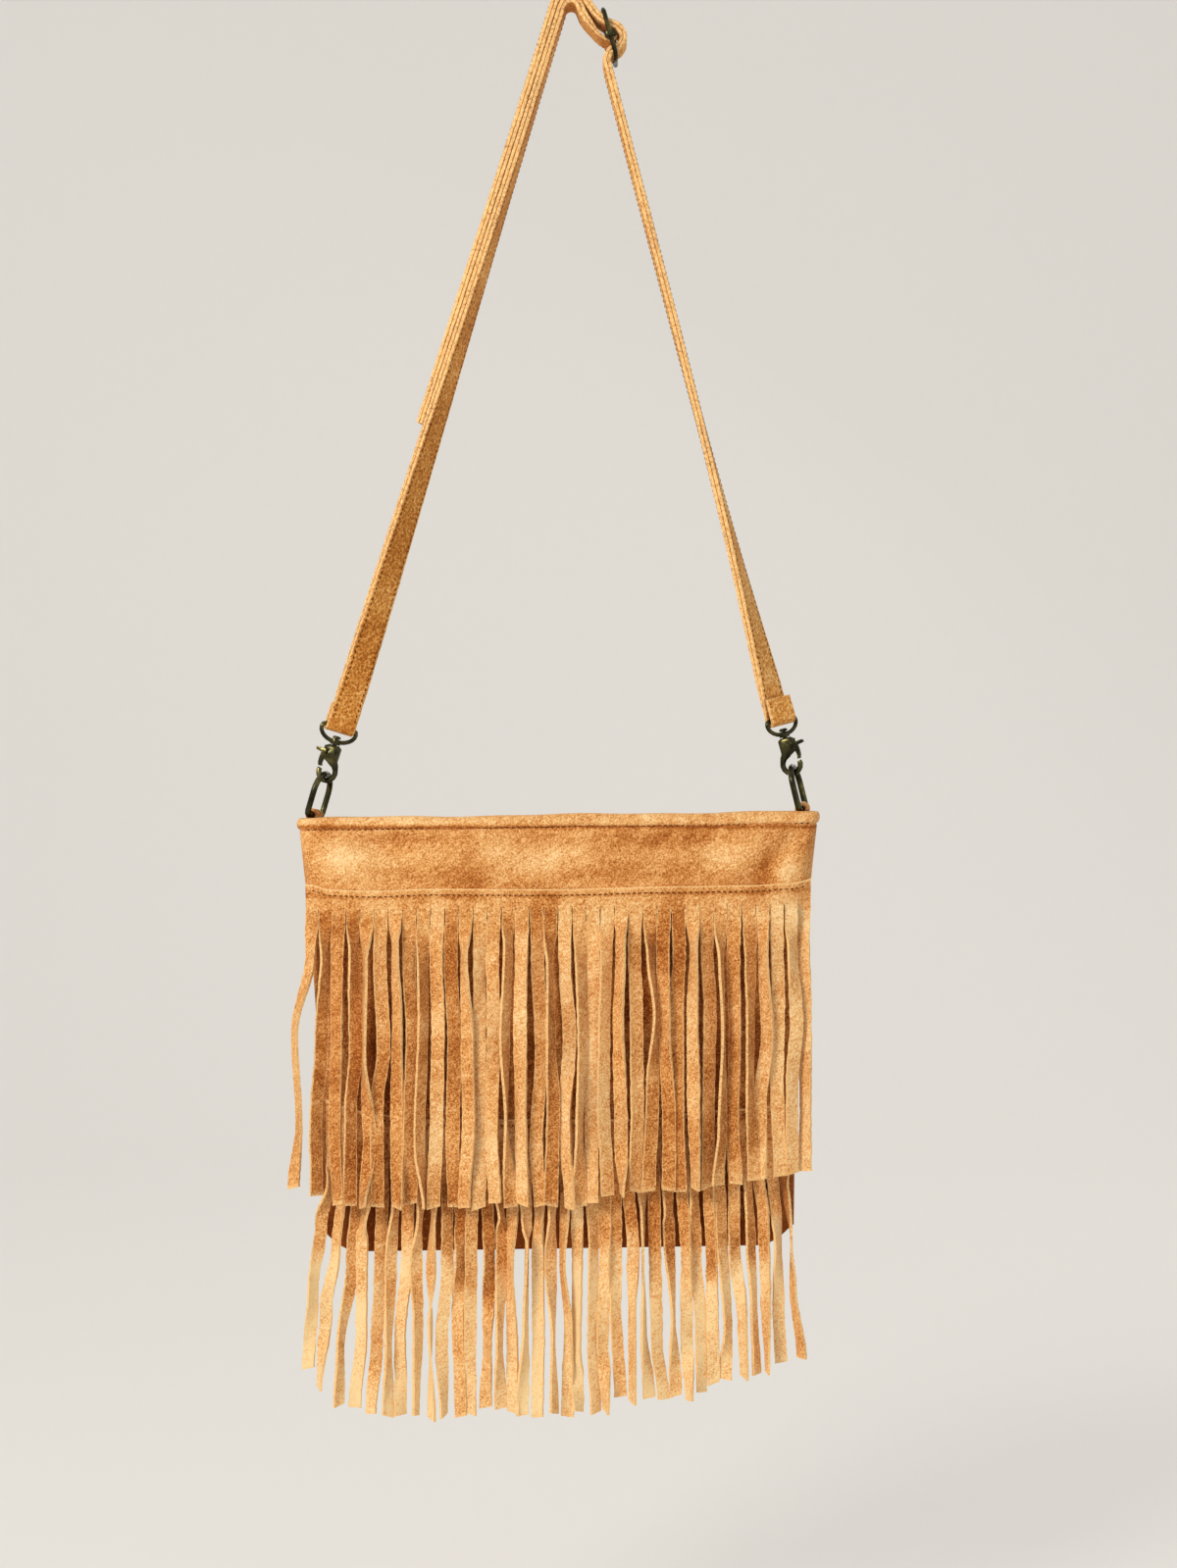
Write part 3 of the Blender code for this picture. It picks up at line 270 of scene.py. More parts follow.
def make_woven(name, dark, light, thread_mm):
    """Plain woven polyester: crossing threads with a soft sheen, drawn at their spacing in millimetres."""
    material, tree, shader = new_material(name)
    place = add_node(tree, "ShaderNodeTexCoord").outputs["Object"]
    # A wave texture of scale 1 has a band every tau / 20
    bands = {"Vector": place, "Scale": math.tau / (20 * thread_mm * MM), "Distortion": 0.3, "Detail": 1.0}
    warp, weft = [add_node(tree, "ShaderNodeTexWave", bands, bands_direction=direction).outputs["Fac"]
                  for direction in ("X", "Z")]
    weave = add_node(tree, "ShaderNodeMath", {0: warp, 1: weft}, operation="MULTIPLY").outputs["Value"]
    worn = add_node(tree, "ShaderNodeTexNoise", {"Vector": place, "Scale": 1 / 0.012, "Detail": 2.0})
    level = add_node(tree, "ShaderNodeMath", {0: weave, 1: 0.5, 2: worn.outputs["Fac"]},
                     operation="MULTIPLY_ADD", use_clamp=True)
    ramp = add_node(tree, "ShaderNodeValToRGB", {"Fac": level.outputs["Value"]})
    set_ramp(ramp, [(0.25, dark), (0.9, light)])
    tree.links.new(ramp.outputs["Color"], shader.inputs["Base Color"])
    shader.inputs["Roughness"].default_value = 0.85
    shader.inputs["Sheen Weight"].default_value = 0.2
    bump = add_node(tree, "ShaderNodeBump", {"Height": weave, "Strength": 0.4, "Distance": 0.0003})
    tree.links.new(bump.outputs["Normal"], shader.inputs["Normal"])
    return material


def make_thread():
    """Bonded nylon thread, twisted, in a brown much darker than the suede."""
    material, tree, shader = new_material("bonded_nylon_thread")
    place = add_node(tree, "ShaderNodeTexCoord").outputs["Object"]
    # The light and dark of the twist, every 0.6 mm
    twist = add_node(tree, "ShaderNodeTexNoise", {"Vector": place, "Scale": 1 / 0.0006, "Detail": 1.0})
    ramp = add_node(tree, "ShaderNodeValToRGB", {"Fac": twist.outputs["Fac"]})
    set_ramp(ramp, [(0.3, "#431C06"), (0.7, "#74380F")])
    tree.links.new(ramp.outputs["Color"], shader.inputs["Base Color"])
    shader.inputs["Roughness"].default_value = 0.7
    shader.inputs["Specular IOR Level"].default_value = 0.1
    return material


TAN_SUEDE = make_suede("split_cowhide_suede", [(0.0, "#8C4413"), (0.28, "#BE7230"), (0.5, "#DE9A55"),
                                               (0.72, "#F4BB78"), (1.0, "#FFE0A8")], "#FFD392",
                       0.9, 2.3, 0.8, 1.0)
STRAP_SUEDE = make_suede("suede_strap_leather", [(0.0, "#7C3A0C"), (0.28, "#AE6420"), (0.5, "#CC8334"),
                                                 (0.72, "#E8A855"), (1.0, "#FFD496")], "#FFD392",
                         1.3, 2.4, 0.6, 0.5)
ANTIQUE_BRASS = make_antique_brass()
LINING_CLOTH = make_woven("woven_polyester_lining", "#3A2416", "#5F3F28", 0.8)
ZIP_TAPE = make_woven("woven_zip_tape", "#5A351A", "#8A5A30", 0.7)
THREAD = make_thread()


# Finishing a piece

def finish_piece(name, bm, material, body, nodes=(), sharp=40.0):
    """Turn a bmesh into a shown piece that moves with a body and stands for its CAD nodes."""
    mesh = bpy.data.meshes.new(name)
    bm.to_mesh(mesh)
    bm.free()
    mesh.materials.append(material)
    mesh.shade_smooth()
    mesh.set_sharp_from_angle(angle=math.radians(sharp))
    piece = bpy.data.objects.new(name, mesh)
    bpy.context.collection.objects.link(piece)
    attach(piece, body)
    if nodes:
        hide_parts(*nodes)
    return piece


def apply_modifiers(piece, sharp=40.0):
    """Replace a piece's mesh by the one that its modifiers make."""
    mesh = bpy.data.meshes.new_from_object(piece.evaluated_get(bpy.context.evaluated_depsgraph_get()))
    old = piece.data
    piece.modifiers.clear()
    piece.data = mesh
    bpy.data.meshes.remove(old)
    mesh.set_sharp_from_angle(angle=math.radians(sharp))


def thicken(piece, thickness):
    """Give a single surface its thickness, half to each side."""
    modifier = piece.modifiers.new("thickness", "SOLIDIFY")
    modifier.thickness = thickness
    modifier.offset = 0.0
    apply_modifiers(piece)


def extend_face(bm, face, ring):
    """Extrude a face and move its copy's corners to a ring of points."""
    grown = bmesh.ops.extrude_discrete_faces(bm, faces=[face])["faces"][0]
    for vertex, place in zip(grown.verts, ring):
        vertex.co = place
    return grown


def node_bmesh(node):
    """Merged copy of a CAD node's mesh with its triangles joined where they are flat."""
    bm = bmesh.new()
    bm.from_mesh(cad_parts[node].data)
    bmesh.ops.remove_doubles(bm, verts=bm.verts, dist=1e-6)
    bmesh.ops.dissolve_limit(bm, angle_limit=math.radians(1), verts=bm.verts, edges=bm.edges)
    return bm


def refine_node(node, name, material, body, bevel=0.0, sharp=50.0):
    """Stand-in for a CAD node with its edges broken and its round forms smooth."""
    piece = finish_piece(name, node_bmesh(node), material, body, [node], sharp)
    if bevel:
        modifier = piece.modifiers.new("broken_edges", "BEVEL")
        modifier.width = bevel
        modifier.segments = 2
        modifier.limit_method = "ANGLE"
        modifier.angle_limit = math.radians(sharp)
        apply_modifiers(piece, 60)


# Shape of the bag: u runs from -1 at the left seam to 1 at the right one, v from 0 at the rim to 1 at the foot

def half_width(v):
    """Half the inner width of the bag, which narrows as the belly fills."""
    narrowing = (BAG_WIDTH - BAG_WIDTH_AT_FOOT) / 2
    return BAG_WIDTH / 2 - SUEDE - narrowing * (1 - (1 - v) ** 2)


def half_depth(u, v):
    """Half the inner depth: a square mouth over a round belly and a closed foot."""
    depth = MOUTH_HALF_DEPTH * (1 - v) + BELLY_BULGE * math.sin(math.pi * v) ** 0.8
    mouth = max(0.0, 1 - v / 0.3)
    power = ROUND_BELLY + (SQUARE_MOUTH - ROUND_BELLY) * mouth ** 2
    return GAP / 2 + depth * max(0.0, 1 - abs(u) ** power) ** 0.5


def height_at(u, v):
    """Height of a point; the rim rises a little to the right and the foot's corners are rounded."""
    corner = max(0.0, (abs(u) - 0.85) / 0.15)
    drop = BAG_HEIGHT - CORNER_RISE * corner ** 2
    return RIM_Z + RIM_RISE * u - v * drop


def wall_point(u, v, offset, side):
    """Point of the front (side -1) or back (side 1) wall, offset outwards from its inner face."""
    step = 0.002
    low, high = max(u - step, -1.0), min(u + step, 1.0)
    run = half_width(v) * (high - low)
    rise = half_depth(high, v) - half_depth(low, v)
    length = math.hypot(run, rise)
    out_x, out_y = -rise / length, run / length
    if abs(u) == 1.0:
        out_x, out_y = u, 0.0
    x = BAG_CENTRE_X + half_width(v) * u + offset * out_x
    y = half_depth(u, v) + offset * out_y
    return Vector((x, side * y, height_at(u, v)))


def front_y(x, z):
    """Outer face of the front wall at a place, for what lies on it."""
    v = min(max((RIM_Z - z) / BAG_HEIGHT, 0.0), 1.0)
    u = min(max((x - BAG_CENTRE_X) / half_width(v), -0.99), 0.99)
    step = 0.005
    slope = (half_depth(u + step, v) - half_depth(u - step, v)) / (2 * step * half_width(v))
    return -half_depth(u, v) - SUEDE * min(math.hypot(1.0, slope), 2.2)


# Folds in the front's top band, placed from the bag's middle and its rim, standing out in millimetres.
# Upright ones: how far out, place across, slant, half width, height and half height
UPRIGHT_FOLDS = [(2.4, -0.104, -0.6, 0.013, -0.020, 0.012), (-2.4, 0.112, 0.9, 0.006, -0.018, 0.014),
                 (1.8, 0.094, 0.8, 0.011, -0.018, 0.014), (1.6, 0.062, -0.5, 0.010, -0.020, 0.010)]
# Level ones: how far out, height, slope, half height, place across and half width
LEVEL_FOLDS = [(-2.0, -0.0132, 0.08, 0.0045, -0.085, 0.028), (-1.6, -0.011, 0.0, 0.0045, 0.058, 0.026)]
BAND_MIDDLE = -0.016


def soft_folds(x, z, side):
    """How far slack suede stands out or falls in, in metres, at x from the bag's middle and z from its rim."""
    if side < 0:
        fold = 0.8 * math.sin(x * 75 + z * 30) * hump(z, -0.02, 0.02)
        for out, across, slant, half_wide, height, half_high in UPRIGHT_FOLDS:
            fold += out * hump(x, across + slant * (z - BAND_MIDDLE), half_wide) * hump(z, height, half_high)
        for out, height, slope, half_high, across, half_wide in LEVEL_FOLDS:
            fold += out * hump(z, height + slope * (x - across), half_high) * hump(x, across, half_wide)
    else:
        fold = 1.2 * math.sin(x * 40 + z * 30) * hump(z, -0.09, 0.06)
        fold += 1.0 * math.sin(z * 70 - x * 25) * hump(x, 0.04, 0.07)
    return fold * MM


# Painted light and shade of the folds and creases in the front's top band, lighter where they face the light and
# darker in their valleys: place from its middle and below its rim, half width, half height and strength
FOLD_LIGHT_AND_SHADE_PATCHES = [(-0.109, 0.020, 0.014, 0.008, 0.30), (-0.080, 0.011, 0.026, 0.005, -0.22),
                   (-0.010, 0.020, 0.022, 0.008, 0.26), (-0.035, 0.017, 0.008, 0.010, 0.10),
                   (0.080, 0.017, 0.020, 0.008, 0.30), (0.058, 0.011, 0.026, 0.004, -0.26),
                   (0.104, 0.022, 0.006, 0.012, -0.28), (0.112, 0.026, 0.008, 0.005, 0.24),
                   (-0.060, 0.028, 0.024, 0.004, -0.16), (0.030, 0.027, 0.022, 0.005, -0.18),
                   (-0.045, 0.034, 0.030, 0.006, -0.14)]
# Grid of a wall: fine rows over the hem, then wider ones down to the foot, and columns that crowd at the seams
ROLL_ROWS = 8
TURNED_ROWS = 4
FINE_ROWS = 18
FINE_STEP = 0.00042
OUTER_ROWS = 78
ROW_SPREAD = 1.2
WALL_COLUMNS = 150
SEAM_CROWDING = 1.7


def wall_place(column, row, side):
    """Corner of a wall's sheet, which runs from the foot up its outside, over the rim and down the turned hem."""
    even = 2 * column / WALL_COLUMNS - 1
    u = math.copysign(1 - (1 - abs(even)) ** SEAM_CROWDING, even)
    middle, inner = SUEDE / 2, -(GAP + SUEDE / 2)
    wobble = (0.35 * math.sin(u * 7.5 + 1) + 0.2 * math.sin(u * 19)) * MM * smooth_step((1 - abs(u)) / 0.1)
    if row <= OUTER_ROWS:
        from_rim = OUTER_ROWS - row
        depth = from_rim * FINE_STEP
        if from_rim > FINE_ROWS:
            share = (from_rim - FINE_ROWS) / (OUTER_ROWS - FINE_ROWS)
            depth = FINE_ROWS * FINE_STEP + (BAG_HEIGHT - FINE_ROWS * FINE_STEP) * share ** ROW_SPREAD
        v = depth / BAG_HEIGHT
        offset = middle
        if depth < HEM_HEIGHT:
            offset += HEM_BULGE * math.sin(math.pi * (0.15 + 0.85 * depth / HEM_HEIGHT)) ** 0.6
        offset -= SEAM_GROOVE * hump(depth, HEM_HEIGHT, SEAM_GROOVE_HALF_WIDTH)
        place = wall_point(u, v, offset, side)
        slack = smooth_step(depth / 0.010) * smooth_step((1 - abs(u)) / 0.04) * smooth_step((1 - v) / 0.15)
        place.y += side * slack * soft_folds(place.x - BAG_CENTRE_X, place.z - RIM_Z, side)
        place.z += wobble * (1 - smooth_step(depth / 0.012))
        return place
    if row <= OUTER_ROWS + ROLL_ROWS:
        angle = math.pi * (row - OUTER_ROWS) / ROLL_ROWS
        radius = (middle - inner) / 2
        bulge = HEM_BULGE * 0.45 ** 0.6 * (math.cos(angle / 2)) ** 2
        place = wall_point(u, 0.0, (middle + inner) / 2 + radius * math.cos(angle) + bulge, side)
        place.z += radius * math.sin(angle) * 1.1 + wobble
        return place
    share = (row - OUTER_ROWS - ROLL_ROWS) / TURNED_ROWS
    place = wall_point(u, share * HEM_TURN / BAG_HEIGHT, inner, side)
    place.z += wobble * (1 - share)
    return place


def grid_cell(vertex, columns, rows):
    """Column and row of a vertex of a fresh grid of size 1."""
    return round((vertex.co.x + 1) / 2 * columns), round((vertex.co.y + 1) / 2 * rows)


def make_wall(name, node, side):
    """One wall of the bag: a single sheet of suede from the foot to the rim, with its top edge turned in."""
    rows = OUTER_ROWS + ROLL_ROWS + TURNED_ROWS
    bm = bmesh.new()
    tone = bm.verts.layers.float.new("tone")
    bmesh.ops.create_grid(bm, x_segments=WALL_COLUMNS, y_segments=rows, size=1.0)
    for vertex in bm.verts:
        column, row = grid_cell(vertex, WALL_COLUMNS, rows)
        vertex.co = wall_place(column, row, side)
        depth = RIM_Z - vertex.co.z
        # Painted highlight and shade: the hem's roll is painted pale as light on its top, and its seam groove is
        # painted dark as shade; the front is painted darker behind the fringe, as its shade
        vertex[tone] = 0.20 * (1 - smooth_step((depth - 0.002) / 0.003)) - 0.40 * hump(depth, HEM_HEIGHT, 0.0009)
        if side < 0:
            # Painted shade of the fringe: darker below the upper header, and darker still behind the lower strips
            # at the foot
            vertex[tone] -= 0.24 * smooth_step((depth - 0.036) / 0.012)
            vertex[tone] -= 0.34 * smooth_step((depth - 0.165) / 0.02)
            # Painted highlights and shade of the band's folds and creases
            for x, below, wide, high, strength in FOLD_LIGHT_AND_SHADE_PATCHES:
                vertex[tone] += strength * hump(vertex.co.x - BAG_CENTRE_X, x, wide) * hump(depth, below, high)
    thicken(finish_piece(name, bm, TAN_SUEDE, "bag", [node]), SUEDE * WALL_SHARE)


# Stitches

def make_stitches(name, places, body):
    """Row of thread stitches: each lies along its own direction, sunk a little into the suede."""
    bm = bmesh.new()
    for centre, along, out in places:
        along = along.normalized()
        across = along.cross(out).normalized()
        turn = Matrix((along, across, along.cross(across))).transposed().to_4x4()
        size = Matrix.Diagonal((STITCH_LENGTH / 2, THREAD_RADIUS, THREAD_RADIUS * THREAD_FLATNESS, 1.0))
        bmesh.ops.create_icosphere(bm, subdivisions=1, radius=1.0,
                                   matrix=Matrix.Translation(centre) @ turn @ size)
    return finish_piece(name, bm, THREAD, body, sharp=80)


def stitch_run(start_x, end_x, place_at, out):
    """Stitches from left to right over a surface given by a function of x."""
    count = int((end_x - start_x) / STITCH_PITCH)
    places = []
    for index in range(count):
        x = start_x + (index + 0.5) * (end_x - start_x) / count
        here, there = place_at(x), place_at(x + 0.001)
        places.append((here, there - here, out))
    return places


def make_hem_stitches(name, side):
    """Stitch line under the rolled hem of a wall."""
    v = HEM_HEIGHT / BAG_HEIGHT

    def place_at(x):
        u = (x - BAG_CENTRE_X) / half_width(v)
        return wall_point(u, v, SUEDE - SEAM_GROOVE + STITCH_RISE, side)

    reach = half_width(v) * HEM_SEAM_REACH
    make_stitches(name, stitch_run(BAG_CENTRE_X - reach, BAG_CENTRE_X + reach, place_at, BACK * side), "bag")


# Fringe, strip by strip: how far it turns edge-on in degrees, how far its foot sways and how much is cut off it,
# both in millimetres

UPPER_STRIPS = [
    (-40, -7.5, 9), (62, -3.2, 7), (-20, 0.0, 3), (55, 0.6, 1), (-66, 0.4, 1), (30, 0.0, 0),
    (-58, 0.5, 0), (20, 0.2, 1), (64, -0.5, 0), (-24, 0.0, 0), (15, 0.8, 1), (-60, 0.6, 0),
    (35, 0.0, 0), (-12, -0.6, 2), (58, 0.0, 0), (-35, 0.5, 1), (12, 0.9, 0), (62, 1.4, 0),
    (-28, 1.0, 0), (56, 0.4, 0), (-18, 0.0, 2), (38, -0.4, 5), (-62, 0.0, 6), (16, 0.5, 6),
    (55, 0.8, 7), (-30, 0.6, 7), (14, 0.0, 7), (-58, 0.3, 8), (26, 0.0, 8), (64, -0.3, 9),
    (-22, 0.0, 10), (40, 0.4, 11), (-60, 0.0, 12), (18, 0.3, 13), (55, 0.6, 14), (-30, 1.2, 15),
]
LOWER_STRIPS = [
    (62, -13.0, 22), (-50, -11.5, 14), (28, -9.5, 6), (-68, -7.5, 3), (10, -6.0, 1), (72, -5.0, 0),
    (-12, -4.0, 0), (66, -3.2, 1), (-70, -2.6, 0), (45, -2.0, 0), (-8, -1.5, 0), (10, -1.0, 2),
    (-22, -0.6, 3), (66, -0.3, 3), (-24, 0.0, 2), (50, 0.2, 0), (-58, 0.4, 0), (62, 0.6, 1),
    (-46, 0.8, 0), (8, 1.0, 1), (24, 1.2, 1), (-14, 1.4, 2), (12, 1.6, 9), (-8, 1.8, 7),
    (70, 2.1, 7), (-12, 2.4, 8), (46, 2.7, 8), (-30, 3.0, 8), (56, 3.4, 11), (-38, 3.8, 14),
    (22, 4.2, 17), (-40, 4.7, 18), (60, 5.2, 18), (-36, 5.7, 19), (30, 6.2, 22), (-62, 6.8, 26),
]

# Height of each header's raw top edge in millimetres under the rim's middle, from left to right
UPPER_EDGE = [(-0.130, -33.2), (-0.120, -35.6), (-0.100, -36.2), (-0.070, -35.2), (-0.010, -35.4),
              (0.050, -34.0), (0.090, -33.4), (0.108, -32.4), (0.126, -29.6)]
LOWER_EDGE = [(-0.125, -141.0), (-0.114, -144.4), (-0.100, -147.6), (-0.075, -150.2), (0.030, -150.2),
              (0.080, -145.6), (0.120, -143.0)]

# Rows of the comb's grid: the header's, by their depth and by their painted light and shade, paler at the top edge
# and with painted shade darkest along the stitched groove, and the strips'. Then the places across a strip, as
# shares of its width.
HEADER_DEPTHS = [0.0, 0.07, 0.29, 0.38, 0.55, 1.0]
HEADER_LIGHT_AND_SHADE = [0.1, 0.05, -0.05, -0.22, 0.0, 0.05]
HEADER_ROWS = len(HEADER_DEPTHS)
# The header's cut top edge is pale, and is painted paler still as a highlight where light falls on its top
HEADER_RAW_EDGE_AND_HIGHLIGHT = 3.0
STRIP_ROWS = 58
ACROSS = [-0.5, -0.42, 0.0, 0.42, 0.5]
CUT_UNEVENNESS = 0.22


class Strip:
    """How one strip of fringe hangs: its turn, sway and stand-off along its length.

    It starts to turn at a share of its length. Its curl is in degrees and its wave in millimetres, and a sway that
    comes early is nearly all there a third of the way down.
    """

    def __init__(self, turn, sway, trim, start, curl, wave, early, rng):
        self.trim = (trim + rng.uniform(-0.8, 1.4)) * MM
        self.tone = rng.uniform(-0.20, 0.20)
        self.slant = rng.uniform(-2.2, 2.2) * MM
        full = start + rng.uniform(0.08, 0.20)
        self.turns = [(0.0, 0.0), (start * rng.uniform(0.4, 1.0), 0.0), (full, turn * rng.uniform(0.85, 1.15))]
        self.sways = [(0.0, 0.0), (0.16, rng.uniform(-0.8, 0.8))]
        self.lifts = [(0.0, 0.0), (0.16, rng.uniform(0.0, 0.8))]
        for share in (0.42, 0.72, 1.0):
            at = share + (rng.uniform(-0.08, 0.08) if share < 1 else 0.0)
            self.turns.append((at, turn * rng.uniform(0.3, 1.1) + rng.uniform(-1, 1) * curl))
            self.sways.append((at, sway * min(1.0, share * early) + rng.uniform(-1, 1) * wave))
            self.lifts.append((at, rng.uniform(0.0, 2.4) * share ** 0.5))
        self.cup = rng.uniform(-0.14, 0.20)
        self.pale_from = rng.uniform(0.30, 0.58)
        self.paleness = rng.uniform(0.3, 1.0)


def make_fringe(name, node, top, length, span, strips, start, stack, edge_line, curl, wave, early,
                pale_foot, seed):
    """A comb of suede: a header sewn to the wall, cut below into strips that twist and hang."""
    rng = random.Random(seed)
    hanging = [Strip(*values, start, curl, wave, early, rng) for values in strips]
    pitch = span / STRIP_COUNT
    half = (pitch - SLIT) / 2
    left = BAG_CENTRE_X - span / 2
    columns = len(ACROSS) * STRIP_COUNT - 1
    rows = HEADER_ROWS - 1 + STRIP_ROWS
    bm = bmesh.new()
    edge = bm.verts.layers.float.new("edge")
    tone = bm.verts.layers.float.new("tone")
    bmesh.ops.create_grid(bm, x_segments=columns, y_segments=rows, size=1.0)
    slits = []
    for face in bm.faces:
        centre = face.calc_center_median()
        column = int((centre.x + 1) / 2 * columns)
        row = int((1 - centre.y) / 2 * rows)
        if column % len(ACROSS) == len(ACROSS) - 1 and row >= HEADER_ROWS - 1:
            slits.append(face)
    cells = {vertex: grid_cell(vertex, columns, rows) for vertex in bm.verts}

    def header_height(x):
        return follow(edge_line, x) * MM + RIM_Z

    def belly(x, z):
        return front_y(x, z) - GAP - FRINGE_SUEDE / 2

    roots = {}
    for index, strip in enumerate(hanging):
        x = left + pitch * (index + 0.5)
        foot = RIM_Z - top - HEADER_HEIGHT + RIM_RISE * (x - BAG_CENTRE_X) / (BAG_WIDTH / 2)
        roots[index] = (x, min(foot, header_height(x) - HEADER_HEIGHT * 0.8))
    for vertex, (column, row_up) in cells.items():
        row = rows - row_up
        index, place_across = column // len(ACROSS), ACROSS[column % len(ACROSS)]
        strip = hanging[index]
        x, root_z = roots[index]
        if row < HEADER_ROWS:
            x += place_across * 2 * half
            high = header_height(x)
            z = high + (root_z - high) * HEADER_DEPTHS[row]
            vertex.co = Vector((x, belly(x, z), z))
            # Pale cut top edge, with a painted highlight on it
            vertex[edge] = HEADER_RAW_EDGE_AND_HIGHLIGHT if row == 0 else 0.0
            # The header's rows carry painted light and shade, darkest along the stitched groove
            vertex[tone] = strip.tone * 0.4 * HEADER_DEPTHS[row] + HEADER_LIGHT_AND_SHADE[row]
            continue
        share = (row - HEADER_ROWS + 1) / STRIP_ROWS
        drop = share * (length - strip.trim)
        front = min(belly(x, root_z - drop * step / 6) for step in range(7))
        angle = math.radians(follow(strip.turns, share))
        stand_off = stack * smooth_step(share / 0.7) + half * abs(math.sin(angle))
        stand_off += (follow(strip.lifts, share) + (0.8 if index % 2 else 0.0) * smooth_step(share / 0.3)) * MM
        across = Vector((math.cos(angle), math.sin(angle), 0))
        through = Vector((-math.sin(angle), math.cos(angle), 0))
        centre = Vector((x + follow(strip.sways, share) * MM, front - stand_off, root_z - drop))
        centre += across * 2 * half * place_across
        centre += through * strip.cup * half * (1 - abs(place_across) * 2) * smooth_step(share / 0.2)
        centre.z += strip.slant * place_across * smooth_step((share - 0.9) / 0.1)
        centre += across * rng.uniform(-CUT_UNEVENNESS, CUT_UNEVENNESS) * MM * (abs(place_across) == 0.5)
        vertex.co = centre
        vertex[edge] = 1.0 if abs(place_across) == 0.5 or row == rows else 0.0
        vertex[tone] = strip.tone + pale_foot * strip.paleness * smooth_step((share - strip.pale_from) / 0.10)
    bmesh.ops.delete(bm, geom=slits, context="FACES_ONLY")
    bmesh.ops.reverse_faces(bm, faces=bm.faces)
    piece = finish_piece(name, bm, TAN_SUEDE, "bag", [node])
    thicken(piece, FRINGE_SUEDE)

    def stitch_at(x):
        z = header_height(x) - HEADER_SEAM_DROP
        return Vector((x, belly(x, z) - FRINGE_SUEDE / 2 - 0.0001, z))

    stitches = stitch_run(left + HEADER_SEAM_END, left + span - HEADER_SEAM_END, stitch_at, -BACK)
    sewn = make_stitches(name.replace("strips", "stitches"), stitches, "bag")


# Straps: a station is a centre, the thickness direction, the width direction and the thickness

def leg_frame(outward, twist):
    """Thickness direction, towards the inner face, and width direction of a twisted strap leg."""
    inner = -outward * math.cos(twist) - BACK * math.sin(twist)
    across = outward * math.sin(twist) - BACK * math.cos(twist)
    return inner, across


LOOP_STEPS = 12
LEG_STEPS = 200


def end_loop(bar, pull, inner, across, wire, flap):
    """Stations of a strap's end: a short flap, then a turn round a bar to the strap's inner side."""
    radius = wire + GAP + STRAP_END_THICKNESS / 2
    stations = [(bar - inner * radius + pull * flap * share, -inner, across, STRAP_END_THICKNESS)
                for share in (1.0, 0.95, 0.5)]
    for step in range(LOOP_STEPS + 1):
        angle = math.pi * step / LOOP_STEPS
        out = -inner * math.cos(angle) - pull * math.sin(angle)
        stations.append((bar + out * radius, out, across, STRAP_END_THICKNESS))
    return stations


def smooth_path(points, steps=5):
    """Points on a smooth curve through the given ones, without the first."""
    padded = [2 * points[0] - points[1]] + points + [2 * points[-1] - points[-2]]
    path = []
    for a, b, c, d in zip(padded, padded[1:], padded[2:], padded[3:]):
        for step in range(1, steps + 1):
            t = step / steps
            path.append(0.5 * (2 * b + (c - a) * t + (2 * a - 5 * b + 4 * c - d) * t ** 2
                               + (3 * b - a - 3 * c + d) * t ** 3))
    return path


def planar_stations(points, before, thickness):
    """Stations along a path in the XZ plane, with the strap's width along Y."""
    stations = []
    path = [before] + smooth_path([before] + points)
    for index in range(1, len(path)):
        following = path[min(index + 1, len(path) - 1)]
        along = (following - path[index - 1]).normalized()
        stations.append((path[index], Vector((along.z, 0, -along.x)), -BACK, thickness))
    return stations


HANGER = Vector((0, 0, -HANGER_RADIUS))
INNER_RADIUS = HANGER_RADIUS + STRAP_THICKNESS / 2
OUTER_RADIUS = INNER_RADIUS + STRAP_THICKNESS + TONGUE_GAP
SLIDE_DOWN = Vector((math.sin(math.radians(SLIDE_LEAN)), 0, -math.cos(math.radians(SLIDE_LEAN))))
SLIDE_MIDDLE = SLIDE_TOP + SLIDE_DOWN * SLIDE_LENGTH * SLIDE_MIDDLE_SHARE


def leg_thickness(distance):
    """Thickness of a strap at a distance from its turned end, where it is pared down."""
    return STRAP_END_THICKNESS + (STRAP_THICKNESS - STRAP_END_THICKNESS) * smooth_step(distance / STRAP_TAPER)


def leg_stations(bar, head, outward, twist_end, power, shares):
    """Stations of a leg from the clasp's bar up to its head, where it lies square to the wall."""
    inner, _ = leg_frame(outward, math.radians(twist_end))
    foot = bar + inner * (EYE_WIRE + GAP + STRAP_END_THICKNESS / 2)
    length = (head - foot).length
    stations = []
    for share in shares:
        twist = math.radians(twist_end) * (1 - share) ** power
        inner, across = leg_frame(outward, twist)
        stations.append((foot + (head - foot) * share, inner, across, leg_thickness(share * length)))
    return stations


def left_leg():
    """Head point, outward direction and pull direction of the left leg, tangent to its support."""
    to_hanger = HANGER - EYE_LEFT
    lean = math.atan2(to_hanger.x, to_hanger.z) - math.asin(INNER_RADIUS / to_hanger.length)
    pull = Vector((math.sin(lean), 0, math.cos(lean)))
    outward = Vector((-math.cos(lean), 0, math.sin(lean)))
    return HANGER + outward * INNER_RADIUS, outward, pull


def crest_stations(radius, start_angle, end_angle, count=14):
    """Stations of the turn over the support, from the left leg round to the right."""
    stations = []
    for step in range(1, count + 1):
        angle = start_angle + (end_angle - start_angle) * step / count
        radial = Vector((math.cos(angle), 0, math.sin(angle)))
        stations.append((HANGER + radial * radius, -radial, -BACK, STRAP_THICKNESS))
    return stations


